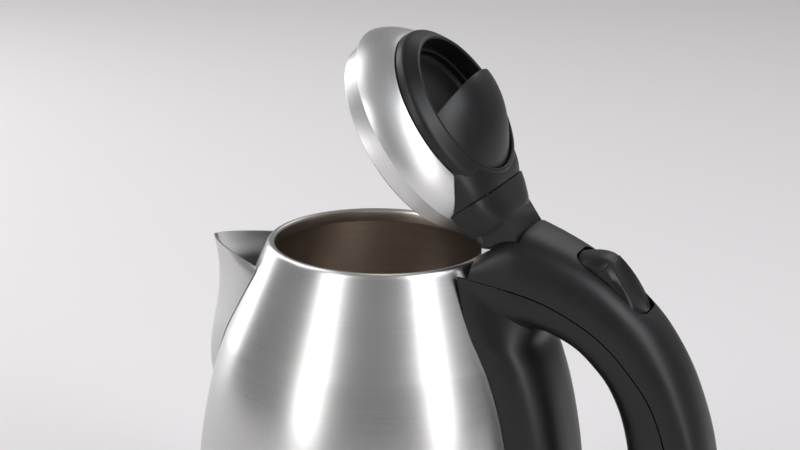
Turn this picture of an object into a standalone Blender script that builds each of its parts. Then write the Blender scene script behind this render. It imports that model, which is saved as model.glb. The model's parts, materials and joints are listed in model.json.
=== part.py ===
# Electric kettle: brushed steel jug, hinged lid, loop handle, and a power base.
# The jug's axis is the Z axis, the table is z = 0, the handle points to +X, the spout to -X.
import bpy
import bmesh
from math import atan2, cos, pi, radians, sin, sqrt
from mathutils import Matrix, Vector

mm = 0.001

# ---- driving sizes -----------------------------------------------------------------
bodyHeight = 150 * mm        # steel jug, from its lower edge to the rim
bodyRadius = 80 * mm         # widest part, at the lower edge
rimRadius = 46.5 * mm        # crest of the rolled rim
rimEdge = 2.6 * mm           # how far the rim's outer edge stands beyond the crest
shoulderFlare = 4.9 * mm     # wall radius just under the rim, beyond the crest
collarInset = 1.3 * mm       # rim's inner collar, inside the crest
collarDepth = 5.5 * mm
steel = 0.8 * mm             # jug and spout sheet
plastic = 2.2 * mm           # moulded walls
gap = 0.35 * mm              # between pieces that touch

baseHeight = 20 * mm         # power base, table to its top face
baseRadius = 80 * mm
footStand = 1.5 * mm         # how far the rubber feet hold the base up
skirtHeight = 19.7 * mm      # plastic skirt below the steel
towerRadius = 15.6 * mm      # connector tower on the power base
towerHeight = 11 * mm        # above the base's top face

handleProjection = 72.8 * mm # handle's back, beyond the widest part of the jug
handleDrop = 3 * mm          # handle's lowest point, below the steel's lower edge
spineDepth = 14.7 * mm       # handle spine, out from the jug's wall
spineHalfWidth = 28 * mm
seamGap = 0.6 * mm           # visible joint between the two handle shells

pinRadius = 1.8 * mm
pinOffset = 14.5 * mm        # hinge pin, behind the rim's crest
pinRise = 6.2 * mm           # hinge pin, above the rim
barrelRadius = 9.2 * mm
barrelHalf = 16.5 * mm       # half the barrel's length
restOpening = radians(55)    # the lid stands open at rest

lidWallHeight = 13.2 * mm
lidTopRadius = 37.5 * mm     # where the black cap starts
lidSheet = 0.7 * mm
plugClearance = 1.6 * mm     # lid's plug inside the rim's collar
plugDepth = 8.6 * mm
recessRadius = 30.3 * mm     # finger recess in the cap
capHeight = 7.8 * mm         # cap's ring, above the steel
recessDepth = 6.4 * mm       # recess floor's underside, below the cap's foot
gripRise = 13.2 * mm         # domed grip, above its seam with the cap
hoodHeight = 18 * mm         # hood over the hinge, above the rim
hoodHalf = 22 * mm

rockerHalfWidth = 10 * mm
rockerClear = 0.6 * mm
rockerBore = 1.2 * mm
rockerPinRadius = 0.9 * mm

studInset = 16 * mm          # studs that hold the skirt, in from the jug's wall
studRadius = 3 * mm
spreaderInset = 26 * mm
spreaderThick = 2.6 * mm
elementInset = 36 * mm       # centre line of the heating element
elementTube = 3.2 * mm       # its radius
controlDrop = 2.2 * mm       # thermostat control, under the heat spreader
bossInset = 38 * mm          # screw bosses, in from the power base's edge
footInset = 16 * mm
footRadius = 6 * mm
screwRadius = 1.5 * mm
outletRadius = 3.6 * mm      # hole for the mains cord
lidScrewRadius = 1.3 * mm
steamTubeRadius = 3.2 * mm
wireRadius = 1.1 * mm
springRadius = 3.6 * mm      # centre line of the hinge spring
springWire = 0.6 * mm

# ---- places worked out from them ---------------------------------------------------
skirtBottom = baseHeight + 0.3 * mm
bodyBottom = skirtBottom + skirtHeight
rimZ = bodyBottom + bodyHeight
rimOuter = rimRadius + rimEdge
collarRadius = rimRadius - collarInset
pinX = rimRadius + pinOffset
pinZ = rimZ + pinRise
plateZ = bodyBottom + 8 * mm          # underside of the heating plate
capBottom = rimZ + lidWallHeight + gap
handleOuterX = bodyRadius + handleProjection
studCircle = bodyRadius - studInset
spreaderRadius = bodyRadius - spreaderInset
elementRing = bodyRadius - elementInset
headRoom = screwRadius * 1.7 + 0.65 * mm   # well round a screw's head
outletZ = footStand + 7.5 * mm
steamZ = rimZ - 15 * mm               # steam hole behind the handle
wireZ = bodyBottom + 3.6 * mm         # where the switch wires leave the jug
studBottom = skirtBottom + plastic + gap
cupWall = 2.4 * mm
socketTop = baseHeight + towerHeight + 0.8 * mm + cupWall
plugRadius = collarRadius - plugClearance
gripRadius = recessRadius - 0.7 * mm
recessFloor = capBottom - recessDepth
tongueScrewX = recessRadius + 4.3 * mm

# jug wall: fraction of the way down, and fraction of the way from shoulder to belly
wallShape = [(0.0, 0.0), (0.06, 0.062), (0.16, 0.31), (0.27, 0.53), (0.41, 0.745),
             (0.59, 0.905), (0.78, 0.98), (1.0, 1.0)]

bodyName = "electric_kettle"


# ---- helpers -----------------------------------------------------------------------
def smoothLine(points, perSpan):
    """Catmull-Rom line through points of any dimension."""
    line = []
    last = len(points) - 1
    for k in range(last):
        a, b, c, d = (points[max(k - 1, 0)], points[k], points[k + 1], points[min(k + 2, last)])
        for j in range(perSpan):
            t = j / perSpan
            line.append(tuple(
                0.5 * (2 * q + (r - p) * t + (2 * p - 5 * q + 4 * r - s) * t * t
                       + (3 * q - p - 3 * r + s) * t ** 3)
                for p, q, r, s in zip(a, b, c, d)))
    line.append(tuple(points[last]))
    return line


wallTop = rimZ - 3 * mm
wallLine = [(rimRadius + shoulderFlare + f * (bodyRadius - rimRadius - shoulderFlare),
             wallTop - d * (wallTop - bodyBottom)) for d, f in smoothLine(wallShape, 2)]


def wallRadius(z):
    """Outer radius of the steel wall at a height."""
    for (r0, z0), (r1, z1) in zip(wallLine, wallLine[1:]):
        if z >= z1:
            return r0 + (r1 - r0) * min(max((z0 - z) / (z0 - z1), 0), 1)
    return bodyRadius


def newObject(name, mesh, material, group="parts"):
    obj = bpy.data.objects.new(name, mesh)
    collections[group].objects.link(obj)
    if material:
        mesh.materials.append(materials[material])
    return obj


def turned(name, profile, material, steps=40, closed=True, thickness=0.0, group="parts"):
    """Profile of (radius, z) turned about Z; it runs down its outer side."""
    mesh = bpy.data.meshes.new(name)
    edges = [(i, i + 1) for i in range(len(profile) - 1)]
    if closed:
        edges.append((len(profile) - 1, 0))
    mesh.from_pydata([(r, 0, z) for r, z in profile], edges, [])
    obj = newObject(name, mesh, material, group)
    screw = obj.modifiers.new("turn", "SCREW")
    screw.steps = screw.render_steps = steps
    screw.use_merge_vertices = True
    screw.merge_threshold = 0.00001
    screw.use_smooth_shade = True
    if thickness:
        addSheet(obj, thickness)
    return obj


def addSheet(obj, thickness):
    solid = obj.modifiers.new("sheet", "SOLIDIFY")
    solid.thickness = thickness
    solid.offset = -1
    solid.use_even_offset = True


def addBevel(obj, width, segments=2, angle=35):
    bevel = obj.modifiers.new("edges", "BEVEL")
    bevel.width = width
    bevel.segments = segments
    bevel.limit_method = "ANGLE"
    bevel.angle_limit = radians(angle)


def cut(obj, cutter, operation="DIFFERENCE"):
    boolean = obj.modifiers.new("cut", "BOOLEAN")
    boolean.operation = operation
    boolean.solver = "EXACT"
    boolean.object = cutter
    return obj


def asCutter(obj):
    for holder in list(obj.users_collection):
        holder.objects.unlink(obj)
    collections["cutters"].objects.link(obj)
    obj.hide_render = True
    obj.display_type = "WIRE"
    return obj


def box(name, low, high, material=None, group="parts"):
    mesh = bpy.data.meshes.new(name)
    bm = bmesh.new()
    bmesh.ops.create_cube(bm, size=1)
    low, high = Vector(low), Vector(high)
    for v in bm.verts:
        v.co = Vector((a * b for a, b in zip(v.co, high - low))) + (low + high) / 2
    bm.to_mesh(mesh)
    bm.free()
    obj = newObject(name, mesh, material, group)
    return asCutter(obj) if group == "cutters" else obj


def rod(name, start, end, radius, material=None, segments=20, group="parts"):
    """Cylinder between two points."""
    mesh = bpy.data.meshes.new(name)
    start, end = Vector(start), Vector(end)
    turn = (end - start).to_track_quat("Z", "Y").to_matrix().to_4x4()
    place = Matrix.Translation((start + end) / 2) @ turn
    bm = bmesh.new()
    bmesh.ops.create_cone(bm, cap_ends=True, segments=segments, radius1=radius, radius2=radius,
                          depth=(end - start).length, matrix=place)
    bm.to_mesh(mesh)
    bm.free()
    obj = newObject(name, mesh, material, group)
    mesh.shade_smooth()
    mesh.set_sharp_from_angle(angle=radians(40))
    return asCutter(obj) if group == "cutters" else obj


def outlineSolid(name, outline, low, high, material=None, group="parts", frame=None):
    """Side outline of (x, z) points, filled and given thickness between two y values."""
    curve = bpy.data.curves.new(name + "_outline", "CURVE")
    curve.dimensions = "2D"
    curve.fill_mode = "BOTH"
    curve.extrude = (high - low) / 2
    spline = curve.splines.new("POLY")
    spline.points.add(len(outline) - 1)
    for point, (x, z) in zip(spline.points, outline):
        point.co = (x, z, 0, 1)
    spline.use_cyclic_u = True
    drawing = bpy.data.objects.new(name + "_outline", curve)
    collections["cutters"].objects.link(drawing)
    bpy.context.view_layer.update()
    mesh = bpy.data.meshes.new_from_object(
        drawing.evaluated_get(bpy.context.evaluated_depsgraph_get()))
    bpy.data.objects.remove(drawing)
    bm = bmesh.new()
    bm.from_mesh(mesh)
    bmesh.ops.remove_doubles(bm, verts=bm.verts, dist=0.00001)
    stand = Matrix.Translation((0, (low + high) / 2, 0)) @ Matrix.Rotation(pi / 2, 4, "X")
    bmesh.ops.transform(bm, matrix=(frame or Matrix()) @ stand, verts=bm.verts)
    bmesh.ops.recalc_face_normals(bm, faces=bm.faces)
    bm.to_mesh(mesh)
    bm.free()
    mesh.name = name
    mesh.materials.clear()
    obj = newObject(name, mesh, material, group)
    return asCutter(obj) if group == "cutters" else obj


def gridMesh(name, rows, material, loop=False, flip=False, group="parts"):
    """Skin over rows of points; loop joins the last row to the first."""
    bm = bmesh.new()
    grid = [[bm.verts.new(p) for p in row] for row in rows]
    pairs = list(zip(grid, grid[1:])) + ([(grid[-1], grid[0])] if loop else [])
    for upper, lower in pairs:
        for j in range(len(upper) - 1):
            corners = [upper[j], upper[j + 1], lower[j + 1], lower[j]]
            bm.faces.new(corners[::-1] if flip else corners)
    mesh = bpy.data.meshes.new(name)
    bm.to_mesh(mesh)
    bm.free()
    mesh.shade_smooth()
    return newObject(name, mesh, material, group)


def closedLoft(name, rows, material=None, group="cutters"):
    """Solid skinned over closed rows of points, with its two ends filled."""
    bm = bmesh.new()
    grid = [[bm.verts.new(p) for p in row] for row in rows]
    count = len(grid[0])
    for a, b in zip(grid, grid[1:]):
        for j in range(count):
            k = (j + 1) % count
            bm.faces.new([a[j], a[k], b[k], b[j]])
    bm.faces.new(grid[0])
    bm.faces.new(grid[-1])
    bmesh.ops.recalc_face_normals(bm, faces=bm.faces)
    mesh = bpy.data.meshes.new(name)
    bm.to_mesh(mesh)
    bm.free()
    obj = newObject(name, mesh, material, group)
    return asCutter(obj) if group == "cutters" else obj


def archOutline(half, foot, crest, power, count):
    """Closed arch: up one side, over the crest and down the other."""
    side = [(half * cos(a) ** (2 / power), foot + (crest - foot) * sin(a) ** (2 / power))
            for a in (pi / 2 * k / count for k in range(count))]
    return side + [(0, crest)] + [(-y, z) for y, z in reversed(side)]


def wire(name, points, radius, material, perSpan, resolution=2):
    curve = bpy.data.curves.new(name, "CURVE")
    curve.dimensions = "3D"
    curve.bevel_depth = radius
    curve.bevel_resolution = resolution
    curve.use_fill_caps = True
    route = smoothLine(points, perSpan) if perSpan else points
    spline = curve.splines.new("POLY")
    spline.points.add(len(route) - 1)
    for point, place in zip(spline.points, route):
        point.co = (*place, 1)
    curve.materials.append(materials[material])
    obj = bpy.data.objects.new(name, curve)
    collections["parts"].objects.link(obj)
    return obj


def screwFastener(name, x, y, z, length, radius=screwRadius):
    """Upright pan-head screw, its head at the bottom."""
    shank = rod(name, (x, y, z), (x, y, z + length), radius * 0.8, "screw_steel", 8)
    cap = rod(name + "_head", (x, y, z - 0.8 * mm), (x, y, z + 0.4 * mm), radius * 1.7, None, 12,
              "cutters")
    cut(shank, cap, "UNION")
    return shank


def startScene():
    for obj in list(bpy.data.objects):
        bpy.data.objects.remove(obj, do_unlink=True)
    for label, title in (("parts", bodyName), ("cutters", "cutters")):
        collections[label] = bpy.data.collections.new(title)
        bpy.context.scene.collection.children.link(collections[label])
    finishes = {
        "brushed_steel": ((0.62, 0.61, 0.60), 0.32, 1.0),
        "inner_steel": ((0.45, 0.42, 0.40), 0.4, 1.0),
        "black_plastic": ((0.028, 0.028, 0.031), 0.5, 0.0),
        "button_plastic": ((0.022, 0.021, 0.020), 0.45, 0.0),
        "rubber": ((0.02, 0.02, 0.02), 0.9, 0.0),
        "brass": ((0.72, 0.52, 0.25), 0.3, 1.0),
        "aluminium": ((0.75, 0.75, 0.77), 0.45, 1.0),
        "screw_steel": ((0.55, 0.55, 0.57), 0.3, 1.0),
        "white_nylon": ((0.75, 0.74, 0.70), 0.5, 0.0),
        "red_insulation": ((0.45, 0.03, 0.02), 0.5, 0.0),
        "blue_insulation": ((0.03, 0.07, 0.4), 0.5, 0.0),
        "silicone": ((0.6, 0.58, 0.55), 0.6, 0.0),
        "bimetal": ((0.6, 0.5, 0.42), 0.35, 1.0),
    }
    for label, (colour, roughness, metallic) in finishes.items():
        material = bpy.data.materials.new(label)
        material.use_nodes = True
        shader = material.node_tree.nodes["Principled BSDF"]
        shader.inputs["Base Color"].default_value = (*colour, 1)
        shader.inputs["Roughness"].default_value = roughness
        shader.inputs["Metallic"].default_value = metallic
        materials[label] = material


collections, materials = {}, {}


# ---- jug ---------------------------------------------------------------------------
def wallCutter(name, clearance):
    """The jug's outer form as a solid, grown by a clearance."""
    line = [(0, rimZ + 0.6 * mm), (rimRadius + clearance, rimZ + 0.6 * mm),
            (rimOuter + clearance, rimZ - 1.4 * mm)]
    line += [(r + clearance, z) for r, z in wallLine]
    line += [(bodyRadius + clearance, bodyBottom - 8 * mm), (0, bodyBottom - 8 * mm)]
    return asCutter(turned(name, line, None, 48, closed=False))


# strainer behind the spout: fraction of body height below the rim, holes in the row
holeRows = [(0.17, 5), (0.235, 4), (0.30, 5), (0.365, 4)]
holePitch, holeRadius = 8 * mm, 2.5 * mm


def makeBody():
    line = [(collarRadius, rimZ - collarDepth), (collarRadius, rimZ - 1.4 * mm),
            (collarRadius + 0.35 * mm, rimZ - 0.4 * mm), (rimRadius, rimZ),
            (rimRadius + 1.6 * mm, rimZ - 0.35 * mm), (rimOuter, rimZ - 1.5 * mm)]
    body = turned("body_shell", line + wallLine, "brushed_steel", 40, False, steel)
    holes = bmesh.new()
    for drop, count in holeRows:
        z = rimZ - drop * bodyHeight
        for k in range(count):
            turn = (k - (count - 1) / 2) * holePitch / wallRadius(z)
            outward = Vector((-cos(turn), sin(turn), 0))
            place = Matrix.Translation(outward * wallRadius(z) + Vector((0, 0, z)))
            aim = outward.to_track_quat("Z", "Y").to_matrix().to_4x4()
            bmesh.ops.create_cone(holes, cap_ends=True, segments=8, radius1=holeRadius,
                                  radius2=holeRadius, depth=12 * mm, matrix=place @ aim)
    mesh = bpy.data.meshes.new("strainer_holes")
    holes.to_mesh(mesh)
    holes.free()
    cut(body, asCutter(newObject("strainer_holes", mesh, None)))
    wall = wallRadius(steamZ)
    cut(body, rod("steam_hole", (wall - 8 * mm, 0, steamZ), (wall + 8 * mm, 0, steamZ),
                  steamTubeRadius + 0.4 * mm, None, 14, "cutters"))
    cut(body, wireHole())


def wireHole():
    return rod("wire_hole", (bodyRadius - 8 * mm, 0, wireZ), (bodyRadius + 4 * mm, 0, wireZ),
               3 * mm, None, 14, "cutters")


# spout: down the ridge, as fraction of body height, reach beyond the rim, half width
spoutRows = [(0.053, 33.5, 31, 3.5), (0.085, 32.3, 32, 0.6), (0.13, 31.0, 31.5, 0),
             (0.19, 30.7, 30.3, 0), (0.25, 31.6, 28.2, 0), (0.31, 33.3, 25.8, 0),
             (0.37, 34.7, 22.8, 0), (0.43, 35.2, 18.5, 0), (0.48, 34.2, 13.5, 0),
             (0.53, 31.5, 9.0, 0), (0.57, 24.0, 8.0, 0)]


def makeSpout():
    rows = []
    for drop, reach, half, dip in spoutRows:
        z = rimZ - drop * bodyHeight
        half = half * mm
        seat = sqrt(wallRadius(z) ** 2 - half ** 2) - 3 * mm
        ridge = rimRadius + reach * mm
        row = []
        for j in range(-8, 9):
            side = j / 8
            x = -(ridge + (seat - ridge) * (0.35 * abs(side) ** 2.2 + 0.65 * abs(side) ** 1.25))
            row.append((x, side * half, z - dip * mm * abs(side) ** 1.6))
        rows.append(row)
    spout = gridMesh("spout", rows, "brushed_steel")
    addSheet(spout, steel)
    cut(spout, wallCutter("spout_seat", gap))


def makeHeater():
    plateRadius = wallRadius(plateZ) - steel - gap
    line = [(0, plateZ + 1 * mm), (plateRadius, plateZ + 1 * mm), (plateRadius, plateZ), (0, plateZ)]
    plate = turned("heating_plate", line, "inner_steel", 40, False)
    for k, (x, y) in enumerate(studPlaces()):
        stud = rod("plate_stud_%d" % k, (x, y, studBottom), (x, y, plateZ + 0.4 * mm), studRadius,
                   None, 14, "cutters")
        bore = rod("stud_bore_%d" % k, (x, y, studBottom - 1 * mm), (x, y, studBottom + 11 * mm),
                   screwRadius + 0.2 * mm, None, 12, "cutters")
        cut(plate, stud, "UNION")
        cut(plate, bore)
    top = plateZ - gap
    line = [(0, top), (spreaderRadius, top), (spreaderRadius, spreaderLow), (0, spreaderLow)]
    turned("heat_spreader", line, "aluminium", 36, False)
    level = spreaderLow - gap - elementTube
    arc = [radians(28 + 304 * k / 22) for k in range(23)]
    ring = [Vector((elementRing * cos(a), elementRing * sin(a), level)) for a in arc]
    wire("heating_element", ring, elementTube, "aluminium", 0, 2)
    for k, (end, a, way) in enumerate(((ring[0], arc[0], 1), (ring[-1], arc[-1], -1))):
        along = Vector((sin(a), -cos(a), 0)) * way
        rod("element_terminal_%d" % (k + 1), end + along * gap, end + along * (gap + 6 * mm),
            1.5 * mm, "screw_steel", 12)


spreaderLow = plateZ - gap - spreaderThick


def studPlaces():
    return [(studCircle * cos(a), studCircle * sin(a)) for a in (pi / 3, pi, 5 * pi / 3)]


def makeControl():
    """Thermostat control under the heater, with its two snap discs and the socket."""
    control = box("control_housing", (-20 * mm, -17 * mm, socketTop + gap),
                  (22 * mm, 17 * mm, controlTop), "white_nylon")
    addBevel(control, 1.2 * mm, 1)
    low = controlTop + gap
    discLine = [(0, low + 1.1 * mm), (6 * mm, low + 0.8 * mm), (7.5 * mm, low + 0.5 * mm),
                (7.5 * mm, low), (0, low + 0.4 * mm)]
    for k, x in enumerate((-9 * mm, 11 * mm)):
        disc = turned("snap_disc_%d" % (k + 1), discLine, "bimetal", 20, False)
        disc.location.x = x
    # socket: an upside-down cup with the ring and pin hanging in it
    inner, outer = towerRadius + 1.2 * mm, towerRadius + 4.4 * mm
    flange = outer + 5 * mm
    turned("kettle_socket", [(0, socketTop), (flange, socketTop), (flange, socketTop - 2 * mm),
                             (outer, socketTop - 2 * mm), (outer, studBottom), (inner, studBottom),
                             (inner, socketTop - cupWall), (0, socketTop - cupWall)],
           "black_plastic", 32, False)
    ceiling = socketTop - cupWall - gap
    rod("socket_pin", (0, 0, ceiling), (0, 0, ceiling - 9 * mm), socketPinRadius, "brass", 14)
    turned("socket_ring", [(socketRing, ceiling), (socketRing, ceiling - 8 * mm),
                           (socketRing - contactSheet, ceiling - 8 * mm),
                           (socketRing - contactSheet, ceiling)], "brass", 28)


controlTop = spreaderLow - controlDrop
contactSheet = 0.7 * mm
socketPinRadius = 1.8 * mm   # plug pin at the centre
socketRing = 9.6 * mm        # outer contact, round the pin


def makeSkirt():
    """Black plastic foot of the jug, with a lip inside the steel and a floor."""
    lip = bodyRadius - steel - gap
    top = bodyBottom - gap
    opening = towerRadius + 8 * mm
    tall = top - skirtBottom
    line = [(lip, bodyBottom + 6 * mm), (lip, top), (bodyRadius, top),
            (bodyRadius, top - 0.15 * tall), (bodyRadius - 0.6 * mm, top - 0.47 * tall),
            (bodyRadius - 2.4 * mm, top - 0.78 * tall), (bodyRadius - 4.5 * mm, skirtBottom + 0.8 * mm),
            (bodyRadius - 5.8 * mm, skirtBottom), (opening, skirtBottom),
            (opening, skirtBottom + plastic), (bodyRadius - 5 * mm - plastic, skirtBottom + plastic),
            (bodyRadius - 2.8 * mm - plastic, top - 0.62 * tall), (lip - plastic, top - 4 * mm),
            (lip - plastic, bodyBottom + 6 * mm)]
    skirt = turned("base_skirt", line, "black_plastic", 36)
    for k, (x, y) in enumerate(studPlaces()):
        cut(skirt, rod("skirt_hole_%d" % k, (x, y, skirtBottom - 2 * mm),
                       (x, y, skirtBottom + plastic + 3 * mm), screwRadius + 0.1 * mm, None, 12,
                       "cutters"))
        cut(skirt, rod("skirt_well_%d" % k, (x, y, skirtBottom - 2 * mm),
                       (x, y, skirtBottom + 1.4 * mm), headRoom, None, 12, "cutters"))
        screwFastener("skirt_screw_%d" % (k + 1), x, y, skirtBottom + 0.9 * mm - gap / 2, 9 * mm)
    cut(skirt, wireHole())


# ---- power base --------------------------------------------------------------------
def makePowerBase():
    bossInner, bossOuter = towerRadius + gap, towerRadius + 6 * mm
    line = [(bossInner, baseHeight - 6 * mm), (bossInner, baseHeight + 2.2 * mm),
            (bossOuter - 1.5 * mm, baseHeight + 2.2 * mm), (bossOuter, baseHeight),
            (baseRadius - 9 * mm, baseHeight), (baseRadius - 4 * mm, baseHeight - 1.2 * mm),
            (baseRadius - 1 * mm, baseHeight - 5 * mm), (baseRadius, baseHeight - 10 * mm),
            (baseRadius, footStand + 0.6 * mm)]
    cover = turned("base_top_cover", line, "black_plastic", 36, False, plastic)
    cut(cover, rod("cord_outlet", (baseRadius - 12 * mm, 0, outletZ), (baseRadius + 4 * mm, 0, outletZ),
                   outletRadius, None, 16, "cutters"))
    inside = baseRadius - plastic - gap
    floorTop = footStand + 3 * mm
    lip = inside - 2 * mm
    bottom = turned("base_bottom_cover",
                    [(0, floorTop), (lip, floorTop), (lip, floorTop + 1.5 * mm),
                     (inside, floorTop + 1.5 * mm), (inside, footStand), (0, footStand)],
                    "black_plastic", 40, False)
    for k in range(4):
        turn = pi / 4 + k * pi / 2
        x, y = (baseRadius - footInset) * cos(turn), (baseRadius - footInset) * sin(turn)
        pocket = footStand + 1.8 * mm
        cut(bottom, rod("foot_pocket_%d" % k, (x, y, -1 * mm), (x, y, pocket), footRadius + 0.5 * mm,
                        None, 16, "cutters"))
        rod("rubber_foot_%d" % (k + 1), (x, y, 0), (x, y, pocket - gap), footRadius, "rubber", 20)
    bosses = []
    for k in range(3):
        turn = pi / 2 + k * 2 * pi / 3
        x, y = (baseRadius - bossInset) * cos(turn), (baseRadius - bossInset) * sin(turn)
        cut(bottom, rod("base_hole_%d" % k, (x, y, 0), (x, y, floorTop + 1 * mm),
                        screwRadius + 0.2 * mm, None, 12, "cutters"))
        cut(bottom, rod("base_well_%d" % k, (x, y, 0), (x, y, footStand + 1.9 * mm), headRoom, None,
                        12, "cutters"))
        screwFastener("base_screw_%d" % (k + 1), x, y, footStand + 1.2 * mm, 9 * mm)
        boss = rod("base_boss_%d" % k, (x, y, floorTop + gap), (x, y, baseHeight - 1 * mm), 3.4 * mm,
                   None, 12, "cutters")
        bore = rod("boss_bore_%d" % k, (x, y, floorTop - 1 * mm), (x, y, floorTop + 8.5 * mm),
                   screwRadius + 0.1 * mm, None, 12, "cutters")
        bosses.append((boss, bore))
    for boss, bore in bosses:
        cut(cover, boss, "UNION")
        cut(cover, bore)
    top = baseHeight + towerHeight
    low = floorTop + gap
    bore = socketPinRadius + 0.8 * mm
    trench, trenchFloor = (socketRing - 2.2 * mm, socketRing + 1.4 * mm), top - 11 * mm
    turned("connector_tower",
           [(bore, top), (trench[0], top), (trench[0], trenchFloor), (trench[1], trenchFloor),
            (trench[1], top), (towerRadius - 1 * mm, top), (towerRadius, top - 1 * mm),
            (towerRadius, baseHeight - 8.5 * mm), (bossOuter, baseHeight - 8.5 * mm), (bossOuter, low),
            (bore, low)], "black_plastic", 28)
    ring = trench[0] + 0.4 * mm
    turned("tower_contact_ring",
           [(ring + contactSheet, top - 3 * mm), (ring + contactSheet, top - 10.6 * mm),
            (ring, top - 10.6 * mm), (ring, top - 3 * mm)], "brass", 28)
    turned("tower_contact_sleeve",
           [(bore - 0.3 * mm, top - 2 * mm), (bore - 0.3 * mm, top - 13 * mm),
            (bore - 0.7 * mm, top - 13 * mm), (bore - 0.7 * mm, top - 2 * mm)], "brass", 16)


# ---- handle ------------------------------------------------------------------------
# Side view of the loop, measured back from the rim's edge and down from the rim (mm):
# inside of the loop, seam between the two shells, outside of the loop, half width.
loopRows = [((29.6, -27.2), (-4.0, -3.2), (3.0, 17.0), 25.2),
            ((31.5, -26.2), (13.0, -5.7), (15.0, 17.0), 24.4),
            ((37.0, -28.5), (31.0, -10.3), (35.0, 10.5), 22.2),
            ((45.0, -33.0), (46.0, -17.2), (52.0, 2.2), 20.5),
            ((52.0, -39.8), (58.0, -25.2), (67.0, -8.8), 19.5),
            ((58.0, -47.5), (68.5, -35.8), (79.5, -21.0), 18.8),
            ((63.5, -60.0), (79.5, -51.0), (91.5, -40.5), 18.3),
            ((67.0, -75.0), (87.0, -73.0), (101.0, -67.0), 18.0),
            ((68.3, -90.0), (89.0, -92.0), (103.8, -90.0), 18.0),
            ((66.2, -102.0), (85.5, -108.0), (100.5, -114.0), 18.5),
            ((60.5, -111.0), (75.0, -122.0), (88.0, -134.5), 19.5),
            ((52.5, -114.5), (57.0, -133.0), (63.0, -148.0), 22.0),
            ((46.5, -111.0), (27.0, -140.0), (27.0, -153.0), 26.0)]
spineRows = [-107, -92, -75, -57, -43, -33]     # below the rim, up the spine
# the drawing's own size: its back and how far down that is, its lowest point, and how far
# the jug widens behind it on the way down
loopReach, loopBack, loopDepth, loopLean = 103.8, 90.0, 153.0, 30.9


def loopPoint(x, z):
    """A point of the drawing, placed against the jug's widening side."""
    down = (bodyHeight + handleDrop) / loopDepth
    lean, backLean = min(max(-z / (loopDepth - 3), 0), 1), loopBack / (loopDepth - 3)
    widening = bodyRadius - rimOuter
    across = (handleOuterX - rimOuter - backLean * widening) / (loopReach - backLean * loopLean)
    place = rimOuter + lean * widening + (x - lean * loopLean) * across
    return Vector((place, 0, rimZ + (z * down if z < 0 else z * mm)))


loopStations = [(loopPoint(i, j), loopPoint(s, t), loopPoint(o, p), w * mm)
                for i, j, s, t, o, p, w in
                smoothLine([(*a, *b, *c, w) for a, b, c, w in loopRows], 2)]


def channelRow(edge, crest, half, power, count=5):
    """Half-round section from one edge over the crest to the other edge."""
    row = []
    for j in range(-count, count + 1):
        a = pi / 2 * (1 - abs(j) / count)
        rise = sin(a) ** (2 / power)
        width = half * cos(a) ** (2 / power) if abs(j) else 0
        place = edge + (crest - edge) * rise
        row.append((place.x, width * (1 if j > 0 else -1), place.z))
    return row


def spineStation(drop):
    z = loopPoint(0, drop).z
    back = wallRadius(z) + spineDepth
    seat = sqrt(wallRadius(z) ** 2 - spineHalfWidth ** 2) - 4 * mm
    return Vector((seat, 0, z + 8 * mm)), Vector((back, 0, z)), spineHalfWidth


def makeLowerShell():
    rows = [channelRow(seam, inner, half, 2.7) for inner, seam, outer, half in loopStations]
    for edge, crest, half in (spineStation(drop) for drop in spineRows):
        rows.append(channelRow(edge, crest, half, 2.7))
    shell = gridMesh("handle_lower_shell", rows, "black_plastic", loop=True)
    addSheet(shell, plastic)
    cut(shell, wallCutter("handle_seat", gap))
    return shell


def makeUpperShell():
    rows = []
    for k, (inner, seam, outer, half) in enumerate(loopStations):
        lift = (outer - seam).normalized() * seamGap
        power = 3.0 - 0.5 * min(k / 9, 1)
        rows.append(channelRow(seam + lift, outer, half, power))
    front = Vector((rimOuter + 0.9 * mm, 0, rimZ - 3.2 * mm))
    crest = Vector((rimOuter + 7 * mm, 0, rimZ + 17 * mm))
    rows = [channelRow(front, crest, 25.2 * mm, 3.0)] + rows[1:]
    shell = gridMesh("handle_upper_shell", rows, "black_plastic", flip=True)
    addSheet(shell, plastic)
    cut(shell, wallCutter("shell_seat", gap))
    notch = barrelHalf + 0.4 * mm
    cut(shell, box("hinge_notch", (rimOuter - 20 * mm, -notch, rimZ - 6 * mm),
                   (notchRear, notch, rimZ + 30 * mm), group="cutters"))
    room = notch + 0.15 * mm
    cut(shell, rod("barrel_room", (pinX, -room, pinZ), (pinX, room, pinZ), barrelRadius + 0.5 * mm,
                   None, 32, "cutters"))
    low, high = bracketBox(gap)
    cut(shell, box("bracket_pocket", low, high, group="cutters"))
    front, rear = rockerTop[0][0] * mm - 0.8 * mm, rockerTop[-1][0] * mm + 0.8 * mm
    slot = [(front, -14 * mm), (rear, -14 * mm), (rear, 16 * mm), (front, 16 * mm)]
    wide = rockerHalfWidth + rockerClear
    cut(shell, outlineSolid("rocker_slot", slot, -wide, wide, None, "cutters", rockerFrame))
    seat = rod("pin_seat", (0, -switchPinHalf - gap, 0), (0, switchPinHalf + gap, 0), rockerBore,
               None, 12, "cutters")
    seat.matrix_world = rockerFrame @ Matrix.Translation((rockerPivot[0], 0, rockerPivot[1]))
    cut(shell, seat)
    return shell


notchRear = pinX + barrelRadius - 1.3 * mm


def bracketBox(clearance):
    """Corners of the hinge bracket's block, grown by a clearance."""
    half = barrelHalf + 2.5 * mm + clearance
    return ((rimOuter + 4.4 * mm - clearance, -half, bracketFloor - 1.6 * mm - clearance),
            (pinX + 2.9 * mm + clearance, half, pinZ + 2.6 * mm + clearance))


bracketFloor = pinZ - barrelRadius - 1.6 * mm


def outerAt(x):
    """Point and direction of the handle's outside line at a distance along X."""
    line = [outer for inner, seam, outer, half in loopStations]
    for a, b in zip(line, line[1:]):
        if a.x <= x <= b.x:
            return a.lerp(b, (x - a.x) / (b.x - a.x)), (b - a).normalized()


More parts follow.
